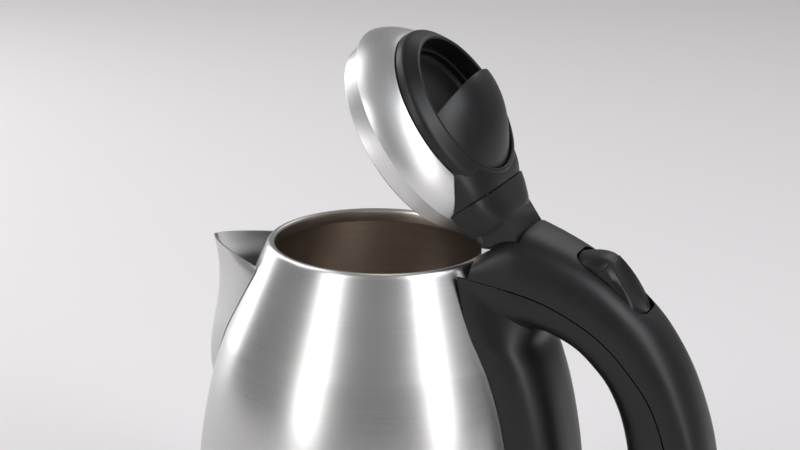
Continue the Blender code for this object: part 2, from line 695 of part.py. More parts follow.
def frameAt(x):
    place, along = outerAt(x)
    turn = atan2(-along.z, along.x)
    return Matrix.Translation(place) @ Matrix.Rotation(turn, 4, "Y")


rockerFrame = frameAt(loopPoint(57, 0).x)
rockerPivot = (4 * mm, -4 * mm)
switchPinHalf = rockerHalfWidth + 2.2 * mm
rockerTop = [(-17.4, -1.9), (-12, 1.7), (-7.5, 4.9), (-5.4, 5.7), (-3.9, 5.3), (-2.0, 3.9),
             (1.5, 1.3), (6, -0.8), (12, -2.2), (19, -2.9)]


def makeSwitch():
    pivot = Matrix.Translation((rockerPivot[0], 0, rockerPivot[1]))
    under = [(rockerTop[-1][0], -5.6), (rockerTop[0][0], -6.2)]
    outline = [(t * mm, n * mm) for t, n in rockerTop + under]
    rocker = outlineSolid("switch_rocker", outline, -rockerHalfWidth, rockerHalfWidth,
                          "button_plastic", "parts", pivot.inverted())
    rocker.matrix_world = rockerFrame @ pivot
    bore = rod("rocker_bore", (0, -20 * mm, 0), (0, 20 * mm, 0), rockerBore, None, 12, "cutters")
    bore.matrix_world = rockerFrame @ pivot
    cut(rocker, bore)
    pin = rod("switch_pin", (0, -switchPinHalf, 0), (0, switchPinHalf, 0), rockerPinRadius,
              "screw_steel", 12)
    pin.matrix_world = rockerFrame @ pivot
    # steam switch below the rocker, in the same slanted frame
    housing = box("steam_switch_housing", (-14 * mm, -8 * mm, -29 * mm), (9 * mm, 8 * mm, -20 * mm),
                  "white_nylon")
    disc = rod("steam_disc", (-16.4 * mm, 0, -23 * mm), (-15.6 * mm, 0, -23 * mm), 6 * mm, "bimetal",
               20)
    addBevel(housing, 1 * mm, 1)
    housing.matrix_world = disc.matrix_world = rockerFrame
    lever = box("switch_lever", (-2 * mm, -2.5 * mm, -1 * mm), (12 * mm, 2.5 * mm, 1 * mm),
                "white_nylon")
    addBevel(lever, 0.5 * mm, 1)
    lever.matrix_world = rockerFrame @ Matrix.Translation((-6 * mm, 0, -15 * mm))


def makeHandleInside():
    start = Vector((wallRadius(steamZ) - 0.5 * mm, 0, steamZ))
    bend = start + Vector((2.5 * mm, 0, 0))
    end = rockerFrame @ Vector((-20 * mm, 0, -22 * mm))
    middle = bend.lerp(end, 0.5) + Vector((0, 0, -0.6 * mm))
    wire("steam_tube", [start, bend, middle, end], steamTubeRadius, "silicone", 2)
    for label, side in (("live", 1), ("neutral", -1)):
        y = side * 9.8 * mm
        route = [(bodyRadius - 16 * mm, side * 1.5 * mm, wireZ),
                 (bodyRadius - 2 * mm, side * 1.5 * mm, wireZ),
                 (bodyRadius + 4 * mm, side * 2 * mm, wireZ + 3 * mm)]
        for drop in (-130, -110, -90, -70, -55, -42, -32):
            z = loopPoint(0, drop).z
            route.append((wallRadius(z) + spineDepth * 0.42, y, z))
        route.append((wallRadius(z) + spineDepth * 0.75, y, loopPoint(0, -20).z))
        route.append(tuple(rockerFrame @ Vector((-4 * mm, y, -24.5 * mm))))
        wire("switch_wire_" + label, route, wireRadius, wireColours[label], 2, 1)


wireColours = {"live": "red_insulation", "neutral": "blue_insulation"}


def makeHinge():
    """Steel bracket on the jug that carries the hinge pin, inside the handle's front."""
    inner = barrelHalf + 0.4 * mm
    low, high = bracketBox(0)
    outer = high[1]
    bracket = box("hinge_bracket", low, high, "screw_steel")
    cut(bracket, box("bracket_room", (rimOuter - 1 * mm, -inner, bracketFloor),
                     (pinX + 20 * mm, inner, rimZ + 20 * mm), group="cutters"))
    cut(bracket, rod("bracket_bore", (pinX, -30 * mm, pinZ), (pinX, 30 * mm, pinZ),
                     pinRadius + 0.2 * mm, None, 16, "cutters"))
    cut(bracket, wallCutter("bracket_seat", gap))
    rod("hinge_pin", (pinX, gap - outer, pinZ), (pinX, outer - gap, pinZ), pinRadius,
        "screw_steel", 16)


# ---- lid, built closed and then stood open on its pin ------------------------------
def makeLid():
    hinge = bpy.data.objects.new("lid_hinge", None)
    collections["parts"].objects.link(hinge)
    hinge.location = (pinX, 0, pinZ)
    hinge.rotation_euler = (0, restOpening, 0)
    for part in [makeLidShell(), makeLidLiner(), makeLidCap(), makeLidGrip(), makeKnuckle(),
                 makeSpring()] + makeLidScrews():
        part.parent = hinge
        part.matrix_parent_inverse = Matrix.Translation((-pinX, 0, -pinZ))
    for obj in lidCutters:
        obj.parent = hinge
        obj.matrix_parent_inverse = Matrix.Translation((-pinX, 0, -pinZ))


lidCutters = []


def lidCutter(obj):
    lidCutters.append(obj)
    return obj


def lidWall():
    """Outer side of the lid's steel wall, top to bottom, slightly domed."""
    low, high = rimRadius + 0.2 * mm, lidTopRadius
    rise = lidWallHeight - 0.5 * mm
    return [(high + (low - high) * sin(t * pi / 2) ** 0.93,
             rimZ + 0.5 * mm + rise * (1 - t ** 1.12)) for t in (0, 0.3, 0.65, 1)]


plugRadius = collarRadius - plugClearance


def makeLidShell():
    line = [(recessRadius + 1.8 * mm, rimZ + lidWallHeight)] + lidWall()
    line += [(rimRadius - 0.2 * mm, rimZ + 0.3 * mm), (plugRadius, rimZ + 0.3 * mm),
             (plugRadius, rimZ - plugDepth)]
    shell = turned("lid_shell", line, "brushed_steel", 36, False, lidSheet)
    for x, y in tonguePlaces():
        cut(shell, lidCutter(rod("lid_hole_%d" % (y > 0), (x, y, rimZ + 8 * mm),
                                 (x, y, rimZ + 18 * mm), 1.5 * mm, None, 12, "cutters")))
    return shell


def makeLidLiner():
    inside = plugRadius - lidSheet - gap
    line = [(inside, rimZ - 3 * mm), (inside, rimZ - plugDepth + 1.2 * mm),
            (inside - 1.2 * mm, rimZ - plugDepth), (inside - 8 * mm, rimZ - plugDepth),
            (inside - 10 * mm, rimZ - plugDepth + 1.4 * mm), (0, rimZ - plugDepth + 1.4 * mm)]
    return turned("lid_liner", line, "inner_steel", 32, False, lidSheet)


def lidFormCutter(name, clearance):
    """The steel lid's outer form, grown by a clearance, for what sits on it."""
    line = [(0, rimZ + lidWallHeight + clearance)]
    line += [(r + clearance, z + clearance) for r, z in lidWall()]
    line += [(rimRadius + 0.2 * mm + clearance, rimZ - 6 * mm), (0, rimZ - 6 * mm)]
    return lidCutter(asCutter(turned(name, line, None, 48, closed=False)))


# neck of the cap: distance back as a share of the steel lid's top radius, half width at its
# foot likewise, and how far its crest stands above the lid's steel
neckRows = [(0.320, 0.880, 7.2), (0.480, 0.843, 8.2), (0.640, 0.784, 8.4), (0.800, 0.747, 6.8),
            (0.968, 0.720, 5.0)]
neckRear = neckRows[-1][0] * lidTopRadius


def makeLidCap():
    """Cap of the lid: a ring with a finger recess in it, and a neck that runs back to the hinge."""
    top = capBottom + capHeight
    seat, mouth = recessRadius + 0.6 * mm, recessRadius - 2.3 * mm
    floor = recessFloor + plastic
    line = [(0, floor), (mouth, floor), (recessRadius - 0.2 * mm, capBottom + 3 * mm),
            (recessRadius, top - 0.6 * mm), (recessRadius + 0.5 * mm, top),
            (recessRadius + 1.6 * mm, top - 0.2 * mm), (lidTopRadius - 1.6 * mm, capBottom + 4.4 * mm),
            (lidTopRadius - 0.6 * mm, capBottom + 3.4 * mm), (lidTopRadius - 0.3 * mm, capBottom),
            (seat + plastic * 0.6, capBottom), (seat, capBottom - 0.2 * mm),
            (mouth + 0.6 * mm, recessFloor), (0, recessFloor)]
    cap = turned("lid_cap", line, "black_plastic", 40, False)
    foot = rimZ - 2 * mm
    rows = []
    for back, half, rise in neckRows:
        arch = archOutline(half * lidTopRadius, foot, rimZ + lidWallHeight + rise * mm, 2.8, 7)
        rows.append([(back * lidTopRadius, y, z) for y, z in arch])
    neck = closedLoft("neck_form", rows)
    cut(neck, lidFormCutter("neck_seat", gap + 0.15 * mm))
    cut(neck, lidCutter(rod("neck_room", (0, 0, rimZ), (0, 0, rimZ + 40 * mm), recessRadius + 0.9 * mm,
                            None, 40, "cutters")))
    cut(cap, lidCutter(neck), "UNION")
    wide = tongueHalf + 0.4 * mm
    cut(cap, lidCutter(box("tongue_room", (recessRadius + 1.3 * mm, -wide, capBottom - 3.5 * mm),
                           (lidTopRadius + 2.5 * mm, wide, capBottom + tongueThick + 0.4 * mm),
                           group="cutters")))
    cut(cap, lidCutter(box("neck_end", (neckRear, -25 * mm, rimZ - 5 * mm),
                           (neckRear + 12 * mm, 25 * mm, rimZ + 30 * mm), group="cutters")))
    for x, y in gripScrewPlaces():
        cut(cap, lidCutter(rod("cap_hole_%d" % (y > 0), (x, y, recessFloor - 2 * mm),
                               (x, y, capBottom), screwRadius, None, 12, "cutters")))
    return cap


tongueHalf, tongueThick = 12 * mm, 2.2 * mm     # of the knuckle, screwed on under the cap


def tonguePlaces():
    return [(tongueScrewX, -8 * mm), (tongueScrewX, 8 * mm)]


def gripScrewPlaces():
    return [(0.58 * gripRadius, -0.375 * gripRadius), (0.58 * gripRadius, 0.375 * gripRadius)]


def gripHeight(x, y):
    """Height of the domed grip over a point of the lid."""
    edge = rimZ + lidWallHeight + capHeight - 0.7 * mm
    out = min((x * x + y * y) / gripRadius ** 2, 1)
    lean = 1 - 0.22 * x / gripRadius
    return edge + gripRise * lean * (1 - out ** 1.15)


def makeLidGrip():
    """Domed grip over the back of the recess; its front edge overhangs the recess."""
    rows = []
    for k in range(11):
        sweep = -1 + 2 * k / 10
        row = []
        for j in range(9):
            along = j / 8
            y = gripRadius * 0.985 * sweep
            front = -8.6 * mm + 6.4 * mm * abs(sweep) ** 2
            back = sqrt(max(gripRadius ** 2 - y * y, 0))
            x = front + (max(back, front + 1.5 * mm) - front) * along
            row.append((x, y, gripHeight(x, y)))
        rows.append(row)
    grip = gridMesh("lid_grip", rows, "black_plastic", flip=True)
    addSheet(grip, plastic)
    low = recessFloor + plastic + gap
    for x, y in gripScrewPlaces():
        high = gripHeight(x, y) - 0.8 * mm
        cut(grip, lidCutter(rod("grip_boss_%d" % (y > 0), (x, y, low), (x, y, high), 3 * mm, None, 14,
                                "cutters")), "UNION")
        cut(grip, lidCutter(rod("grip_bore_%d" % (y > 0), (x, y, low - 1 * mm), (x, y, low + 8 * mm),
                                screwRadius, None, 12, "cutters")))
    return grip


hoodFront, hoodRear = neckRear + gap, pinX - barrelRadius - 2.2 * mm


def makeKnuckle():
    """Hood behind the cap, with the hinge barrel."""
    rows = [[(x, y, z) for y, z in archOutline(hoodHalf, rimZ + 1.6 * mm, rimZ + crest, 2.4, 8)]
            for x, crest in ((hoodFront, hoodHeight), (hoodFront + 6 * mm, hoodHeight - 0.2 * mm),
                             (hoodRear, hoodHeight - 0.7 * mm))]
    knuckle = closedLoft("hinge_knuckle", rows, "black_plastic", "parts")
    half = barrelHalf - 0.3 * mm
    webFront, webLow = hoodRear - 3 * mm, pinZ - 0.39 * barrelRadius
    web = [(webFront, webLow), (pinX, webLow), (pinX, pinZ + barrelRadius),
           (webFront, pinZ + barrelRadius)]
    cut(knuckle, lidCutter(outlineSolid("knuckle_web", web, -half, half, None, "cutters")), "UNION")
    cut(knuckle, lidCutter(rod("knuckle_barrel", (pinX, -half, pinZ), (pinX, half, pinZ),
                               barrelRadius, None, 32, "cutters")), "UNION")
    cut(knuckle, lidCutter(box("knuckle_tongue", (recessRadius + 1.8 * mm, -tongueHalf, capBottom),
                               (hoodFront + 4 * mm, tongueHalf, capBottom + tongueThick),
                               group="cutters")), "UNION")
    cut(knuckle, lidFormCutter("knuckle_seat", gap))
    cut(knuckle, lidCutter(box("spring_room", (hoodRear - 6 * mm, -7.5 * mm, rimZ - 8 * mm),
                               (pinX + 20 * mm, 7.5 * mm, rimZ + 12.6 * mm), group="cutters")))
    cut(knuckle, lidCutter(rod("knuckle_bore", (pinX, -40 * mm, pinZ), (pinX, 40 * mm, pinZ),
                               pinRadius + 0.2 * mm, None, 16, "cutters")))
    for x, y in tonguePlaces():
        cut(knuckle, lidCutter(rod("tongue_bore_%d" % (y > 0), (x, y, capBottom - 2 * mm),
                                   (x, y, capBottom + 5 * mm), lidScrewRadius + 0.1 * mm, None, 12,
                                   "cutters")))
    return knuckle


def makeSpring():
    """Torsion spring round the pin, one leg under the hood."""
    turns, length = 5, 10.4 * mm
    points = [(pinX - 12 * mm, -length / 2 - 0.2 * mm, pinZ + springRadius)]
    for k in range(turns * 8 + 1):
        a = pi / 2 + 2 * pi * k / 8
        along = length * (k / (turns * 8) - 0.5)
        points.append((pinX + springRadius * cos(a), along, pinZ + springRadius * sin(a)))
    return wire("hinge_spring", points, springWire, "screw_steel", 0, 1)


def makeLidScrews():
    under = rimZ + lidWallHeight - lidSheet - gap - 0.6 * mm
    screws = [screwFastener("knuckle_screw_%d" % (k + 1), x, y, under, 3.2 * mm, lidScrewRadius)
              for k, (x, y) in enumerate(tonguePlaces())]
    under = recessFloor - gap - 0.6 * mm
    screws += [screwFastener("grip_screw_%d" % (k + 1), x, y, under, 9 * mm, lidScrewRadius)
               for k, (x, y) in enumerate(gripScrewPlaces())]
    for screw in screws:
        lidCutter(screw.modifiers["cut"].object)
    return screws


def makeKettle():
    startScene()
    makePowerBase()
    makeBody()
    makeSpout()
    makeSkirt()
    makeHeater()
    makeControl()
    makeLowerShell()
    makeUpperShell()
    makeSwitch()
    makeHandleInside()
    makeHinge()
    makeLid()


makeKettle()
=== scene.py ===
# Electric kettle: the finished surfaces, materials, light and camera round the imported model.
import json
from math import atan2, cos, hypot, pi, radians, sin, sqrt

import bpy
from mathutils import Matrix, Vector


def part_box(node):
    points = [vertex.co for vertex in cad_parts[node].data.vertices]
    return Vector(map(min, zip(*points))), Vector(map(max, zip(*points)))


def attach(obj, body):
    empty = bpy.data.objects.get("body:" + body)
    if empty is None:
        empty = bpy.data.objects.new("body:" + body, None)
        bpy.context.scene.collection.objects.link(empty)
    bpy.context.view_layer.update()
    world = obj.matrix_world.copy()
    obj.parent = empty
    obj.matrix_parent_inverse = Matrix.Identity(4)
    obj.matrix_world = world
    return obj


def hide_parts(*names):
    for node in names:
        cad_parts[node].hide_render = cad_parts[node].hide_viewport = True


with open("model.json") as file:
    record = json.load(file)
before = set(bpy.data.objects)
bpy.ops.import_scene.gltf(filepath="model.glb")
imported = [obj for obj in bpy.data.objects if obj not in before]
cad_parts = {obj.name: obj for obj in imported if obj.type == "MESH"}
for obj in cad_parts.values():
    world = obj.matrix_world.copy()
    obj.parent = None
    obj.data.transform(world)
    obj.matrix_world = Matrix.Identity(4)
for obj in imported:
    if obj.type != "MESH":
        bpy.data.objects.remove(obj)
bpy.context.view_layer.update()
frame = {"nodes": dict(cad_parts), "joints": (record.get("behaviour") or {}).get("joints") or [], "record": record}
mm = 0.001

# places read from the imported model
bodyLow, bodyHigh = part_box("body_shell")
bodyRadius, bodyBottom, rimZ = bodyHigh.x, bodyLow.z, bodyHigh.z
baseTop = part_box("base_top_cover")[1].z - 2.2 * mm
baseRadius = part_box("base_top_cover")[1].x
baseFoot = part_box("base_top_cover")[0].z
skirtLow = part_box("base_skirt")[0].z
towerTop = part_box("connector_tower")[1].z
joints = {j["name"]: j for j in frame["joints"]}
pin = Vector(joints["lid_hinge"]["pos_m"])
restOpening = radians(-joints["lid_hinge"]["range_deg"][0])
rockerPivot = Vector(joints["switch_rock"]["pos_m"])
lidTurn = Matrix.Translation(pin) @ Matrix.Rotation(restOpening, 4, "Y") @ Matrix.Translation(-pin)
gap = 0.35 * mm


# modelling helpers
def deselectAll():
    if bpy.context.object and bpy.context.object.mode != "OBJECT":
        bpy.ops.object.mode_set(mode="OBJECT")
    bpy.ops.object.select_all(action="DESELECT")


def pick(piece):
    deselectAll()
    piece.select_set(True)
    bpy.context.view_layer.objects.active = piece
    return piece


def applyModifier(piece, kind, **settings):
    pick(piece)
    modifier = piece.modifiers.new(kind.lower(), kind)
    for name, value in settings.items():
        setattr(modifier, name, value)
    bpy.ops.object.modifier_apply(modifier=modifier.name)


def tidyMesh(piece, distance=0.004 * mm):
    pick(piece)
    bpy.ops.object.mode_set(mode="EDIT")
    bpy.ops.mesh.select_all(action="SELECT")
    bpy.ops.mesh.remove_doubles(threshold=distance)
    bpy.ops.mesh.dissolve_degenerate(threshold=distance)
    bpy.ops.mesh.normals_make_consistent(inside=False)
    bpy.ops.object.mode_set(mode="OBJECT")


def smoothLine(points, perSpan):
    # Catmull-Rom line through points with any number of values
    line, last = [], len(points) - 1
    for k in range(last):
        a, b, c, d = points[max(k - 1, 0)], points[k], points[k + 1], points[min(k + 2, last)]
        for j in range(perSpan):
            t = j / perSpan
            line.append(tuple(0.5 * (2 * q + (r - p) * t + (2 * p - 5 * q + 4 * r - s) * t * t
                                     + (3 * q - p - 3 * r + s) * t ** 3)
                              for p, q, r, s in zip(a, b, c, d)))
    line.append(tuple(points[last]))
    return line


def roundedLine(points, radius, steps=4):
    # a polyline whose inner corners are rounded
    line = [tuple(points[0])]
    for a, b, c in zip(points, points[1:], points[2:]):
        a, b, c = Vector(a), Vector(b), Vector(c)
        cutBack = min(radius, (a - b).length * 0.45, (c - b).length * 0.45)
        start, end = b + (a - b).normalized() * cutBack, b + (c - b).normalized() * cutBack
        for k in range(steps + 1):
            t = k / steps
            line.append(tuple(start * (1 - t) ** 2 + b * (2 * t * (1 - t)) + end * t * t))
    line.append(tuple(points[-1]))
    return line


def turnedPiece(name, profile, steps=128, wall=0.0, closed=False):
    # one vertex, extruded along the profile of (radius, z), then spun round the Z axis
    deselectAll()
    bpy.ops.mesh.primitive_plane_add(size=1 * mm, location=(profile[0][0], 0, profile[0][1]))
    piece = bpy.context.object
    piece.name = name
    bpy.ops.object.transform_apply(location=True, rotation=True, scale=True)
    bpy.ops.object.mode_set(mode="EDIT")
    bpy.ops.mesh.select_all(action="SELECT")
    bpy.ops.mesh.merge(type="CENTER")
    route = list(profile) + ([profile[0]] if closed else [])
    for (r0, z0), (r1, z1) in zip(route, route[1:]):
        bpy.ops.mesh.extrude_region_move(TRANSFORM_OT_translate={"value": (r1 - r0, 0, z1 - z0)})
    bpy.ops.mesh.select_all(action="SELECT")
    bpy.ops.mesh.spin(steps=steps, angle=2 * pi, center=(0, 0, 0), axis=(0, 0, 1))
    bpy.ops.object.mode_set(mode="OBJECT")
    tidyMesh(piece)
    if wall:
        facesOut(piece)
        applyModifier(piece, "SOLIDIFY", thickness=wall, offset=-1, use_even_offset=True)
    return piece


def facesOut(piece):
    # an open sheet has no inside: its widest face tells which way is out
    widest = max(piece.data.polygons, key=lambda f: hypot(f.center.x, f.center.y))
    if Vector((widest.center.x, widest.center.y, 0)).dot(widest.normal) < 0:
        flipFaces(piece)


def flipFaces(piece):
    pick(piece)
    bpy.ops.object.mode_set(mode="EDIT")
    bpy.ops.mesh.select_all(action="SELECT")
    bpy.ops.mesh.flip_normals()
    bpy.ops.object.mode_set(mode="OBJECT")


def skinnedPiece(name, rows):
    # a grid primitive whose points are pulled onto rows of places
    deselectAll()
    down, across = len(rows), len(rows[0])
    bpy.ops.mesh.primitive_grid_add(x_subdivisions=across - 1, y_subdivisions=down - 1, size=1)
    piece = bpy.context.object
    piece.name = name
    for k, point in enumerate(piece.data.vertices):
        point.co = rows[k // across][k % across]
    piece.data.update()
    return piece


def blockPiece(name, low, high):
    deselectAll()
    low, high = Vector(low), Vector(high)
    bpy.ops.mesh.primitive_cube_add(size=1, location=(low + high) / 2, scale=high - low)
    piece = bpy.context.object
    piece.name = name
    bpy.ops.object.transform_apply(location=True, rotation=True, scale=True)
    return piece


def rodPiece(name, start, end, radius, vertices=48):
    deselectAll()
    start, end = Vector(start), Vector(end)
    turn = (end - start).to_track_quat("Z", "Y").to_euler()
    bpy.ops.mesh.primitive_cylinder_add(vertices=vertices, radius=radius, depth=(end - start).length,
                                        location=(start + end) / 2, rotation=turn)
    piece = bpy.context.object
    piece.name = name
    bpy.ops.object.transform_apply(location=True, rotation=True, scale=True)
    return piece


def combine(piece, tool, operation="DIFFERENCE"):
    applyModifier(piece, "BOOLEAN", object=tool, operation=operation, solver="EXACT")
    bpy.data.objects.remove(tool, do_unlink=True)


def boreFor(piece, node, along, clearance=0.3 * mm):
    # a hole through the piece for a packed pin, screw or tube that passes it
    low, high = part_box(node)
    middle, along = (low + high) / 2, Vector(along).normalized()
    radius = (high.x - low.x) / 2 if abs(along.y) > 0.9 else (high.y - low.y) / 2
    reach = along * ((high - low).length / 2 + 1 * mm)
    combine(piece, rodPiece("bore", middle - reach, middle + reach, radius + clearance, 32))


def standOpen(piece):
    # the lid is modelled closed, then swung up on its pin
    pick(piece)
    piece.matrix_world = lidTurn @ piece.matrix_world
    bpy.ops.object.transform_apply(location=True, rotation=True, scale=True)


def finishPiece(piece, body, material, nodes, smooth=35):
    piece.data.materials.clear()
    piece.data.materials.append(material)
    pick(piece)
    bpy.ops.object.shade_smooth_by_angle(angle=radians(smooth))
    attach(piece, body)
    if nodes:
        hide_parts(*nodes)
    return piece


# camera, light and floor
cameraSet = {"azimuth": 22.87, "elevation": 17.5, "distance": 0.924, "lens": 96.7,
             "shift": (0.025, 0.018), "roll": 0.85}


def makeCamera():
    a, e = radians(cameraSet["azimuth"]), radians(cameraSet["elevation"])
    back = Vector((sin(a) * cos(e), -cos(a) * cos(e), sin(e)))
    target = Vector((0, 0, rimZ))
    bpy.ops.object.camera_add(location=target + back * cameraSet["distance"])
    camera = bpy.context.object
    look = (-back).to_track_quat("-Z", "Y").to_matrix().to_4x4()
    camera.rotation_euler = (look @ Matrix.Rotation(radians(cameraSet["roll"]), 4, "Z")).to_euler()
    camera.data.lens = cameraSet["lens"]
    camera.data.sensor_width = 36
    camera.data.shift_x, camera.data.shift_y = cameraSet["shift"]
    camera.data.clip_start, camera.data.clip_end = 0.05, 50
    bpy.context.scene.camera = camera


# azimuth round the jug, height, distance, width, height of the panel, watts, colour
lightSet = {
    "key_panel": (-25, 0.78, 1.5, 0.50, 1.5, 10, (1.0, 0.99, 0.98)),
    "front_panel": (66, 0.72, 1.6, 0.42, 1.5, 9.5, (1.0, 0.98, 0.97)),
    "side_panel": (-112, 0.60, 1.5, 0.6, 1.3, 9, (0.98, 0.99, 1.0)),
    "right_panel": (80, 1.35, 1.25, 0.8, 0.9, 10, (0.90, 0.94, 1.0)),
    "rear_panel": (165, 1.3, 1.5, 1.2, 0.7, 4, (1.0, 1.0, 1.0)),
    "top_panel": (-88, 1.9, 1.5, 1.6, 1.4, 15, (1.0, 1.0, 1.0)),
}


def makeLights():
    for name, (azimuth, height, away, wide, tall, watts, colour) in lightSet.items():
        a = radians(azimuth)
        place = Vector((sin(a) * away, -cos(a) * away, height))
        bpy.ops.object.light_add(type="AREA", location=place)
        lamp = bpy.context.object
        lamp.name = name
        lamp.rotation_euler = (Vector((0, 0, 0.15)) - place).to_track_quat("-Z", "Y").to_euler()
        lamp.data.shape = "RECTANGLE"
        lamp.data.size, lamp.data.size_y = wide, tall
        lamp.data.energy, lamp.data.color = watts, colour
    world = bpy.data.worlds.new("studio")
    bpy.context.scene.world = world
    world.use_nodes = True
    backdrop = world.node_tree.nodes["Background"]
    backdrop.inputs["Color"].default_value = (0.86, 0.85, 0.86, 1)
    backdrop.inputs["Strength"].default_value = 0.34
    bpy.context.scene.view_settings.view_transform = "Standard"


def makeFloor():
    deselectAll()
    bpy.ops.mesh.primitive_plane_add(size=16, location=(0, 0, 0))
    floor = bpy.context.object
    floor.name = "studio_floor"
    material = bpy.data.materials.new("paleFloor")
    material.use_nodes = True
    shader = material.node_tree.nodes["Principled BSDF"]
    shader.inputs["Base Color"].default_value = (0.76, 0.74, 0.745, 1)
    shader.inputs["Roughness"].default_value = 0.9
    floor.data.materials.append(material)


makeCamera()
makeLights()
makeFloor()
print("camera, light and floor are set")


# materials
def makeGroup(name, inputs, outputs):
    group = bpy.data.node_groups.new(name, "ShaderNodeTree")
    for label, kind, value in inputs:
        socket = group.interface.new_socket(name=label, in_out="INPUT", socket_type=kind)
        if value is not None:
            socket.default_value = value
    for label, kind in outputs:
        group.interface.new_socket(name=label, in_out="OUTPUT", socket_type=kind)
    return group, group.nodes.new("NodeGroupInput"), group.nodes.new("NodeGroupOutput")


def addNode(tree, kind, values=(), **settings):
    node = tree.nodes.new(kind)
    for name, value in settings.items():
        setattr(node, name, value)
    for socket, value in values:
        node.inputs[socket].default_value = value
    return node


def makeBrushing():
    # fine marks that run round an axis: the grain changes fast along the height and the
    # radius, and slowly round the piece
    group, start, end = makeGroup("Brushing", [("Vector", "NodeSocketVector", None),
                                               ("Fineness", "NodeSocketFloat", 2600.0),
                                               ("Length", "NodeSocketFloat", 42.0)],
                                  [("Streak", "NodeSocketFloat"), ("Cloud", "NodeSocketFloat")])
    link = group.links.new
    split = addNode(group, "ShaderNodeSeparateXYZ")
    link(start.outputs["Vector"], split.inputs[0])
    flat = addNode(group, "ShaderNodeCombineXYZ")
    link(split.outputs["X"], flat.inputs["X"])
    link(split.outputs["Y"], flat.inputs["Y"])
    radius = addNode(group, "ShaderNodeVectorMath", operation="LENGTH")
    link(flat.outputs[0], radius.inputs[0])
    fine = addNode(group, "ShaderNodeMath", operation="MULTIPLY")
    link(radius.outputs["Value"], fine.inputs[0])
    link(start.outputs["Fineness"], fine.inputs[1])
    rise = addNode(group, "ShaderNodeMath", operation="MULTIPLY")
    link(split.outputs["Z"], rise.inputs[0])
    link(start.outputs["Fineness"], rise.inputs[1])
    slowX = addNode(group, "ShaderNodeMath", operation="MULTIPLY")
    link(split.outputs["X"], slowX.inputs[0])
    link(start.outputs["Length"], slowX.inputs[1])
    slowY = addNode(group, "ShaderNodeMath", operation="MULTIPLY")
    link(split.outputs["Y"], slowY.inputs[0])
    link(start.outputs["Length"], slowY.inputs[1])
    place = addNode(group, "ShaderNodeCombineXYZ")
    link(slowX.outputs[0], place.inputs["X"])
    link(slowY.outputs[0], place.inputs["Y"])
    link(fine.outputs[0], place.inputs["Z"])
    marks = addNode(group, "ShaderNodeTexNoise", [("Scale", 1.0), ("Detail", 2.0), ("Roughness", 0.6)],
                    noise_dimensions="4D")
    link(place.outputs[0], marks.inputs["Vector"])
    link(rise.outputs[0], marks.inputs["W"])
    link(marks.outputs["Fac"], end.inputs["Streak"])
    cloud = addNode(group, "ShaderNodeTexNoise", [("Scale", 26.0), ("Detail", 2.0)])
    link(start.outputs["Vector"], cloud.inputs["Vector"])
    link(cloud.outputs["Fac"], end.inputs["Cloud"])
    return group


def makeMouldGrain():
    # spark-eroded grain of a moulded part, with faint handling marks
    group, start, end = makeGroup("MouldGrain", [("Vector", "NodeSocketVector", None),
                                                 ("Grain", "NodeSocketFloat", 2400.0)],
                                  [("Height", "NodeSocketFloat"), ("Cloud", "NodeSocketFloat")])
    link = group.links.new
    fine = addNode(group, "ShaderNodeTexNoise", [("Detail", 2.0), ("Roughness", 0.6)])
    link(start.outputs["Vector"], fine.inputs["Vector"])
    link(start.outputs["Grain"], fine.inputs["Scale"])
    link(fine.outputs["Fac"], end.inputs["Height"])
    cloud = addNode(group, "ShaderNodeTexNoise", [("Scale", 34.0), ("Detail", 3.0)])
    link(start.outputs["Vector"], cloud.inputs["Vector"])
    link(cloud.outputs["Fac"], end.inputs["Cloud"])
    return group


brushing = makeBrushing()
mouldGrain = makeMouldGrain()


def startMaterial(name, constants):
    material = bpy.data.materials.new(name)
    material.use_nodes = True
    shader = material.node_tree.nodes["Principled BSDF"]
    for socket, value in constants.items():
        shader.inputs[socket].default_value = value
    return material, material.node_tree, shader


def mapped(tree, source, low, high):
    node = addNode(tree, "ShaderNodeMapRange", [("From Min", 0.3), ("From Max", 0.7),
                                                ("To Min", low), ("To Max", high)])
    tree.links.new(source, node.inputs["Value"])
    return node.outputs["Result"]


def blended(tree, source, dark, light):
    ramp = tree.nodes.new("ShaderNodeValToRGB")
    ramp.color_ramp.elements[0].position, ramp.color_ramp.elements[1].position = 0.3, 0.7
    ramp.color_ramp.elements[0].color = (*dark, 1)
    ramp.color_ramp.elements[1].color = (*light, 1)
    tree.links.new(source, ramp.inputs["Fac"])
    return ramp.outputs["Color"]


def objectPlace(tree, turn=None):
    # Object coordinates; turn stands the pattern back upright on a piece of the open lid
    coordinates = tree.nodes.new("ShaderNodeTexCoord")
    if turn is None:
        return coordinates.outputs["Object"]
    mapping = tree.nodes.new("ShaderNodeMapping")
    tree.links.new(coordinates.outputs["Object"], mapping.inputs["Vector"])
    mapping.inputs["Rotation"].default_value = (0, -turn, 0)
    mapping.inputs["Location"].default_value = pin - Matrix.Rotation(-turn, 3, "Y") @ pin
    return mapping.outputs["Vector"]


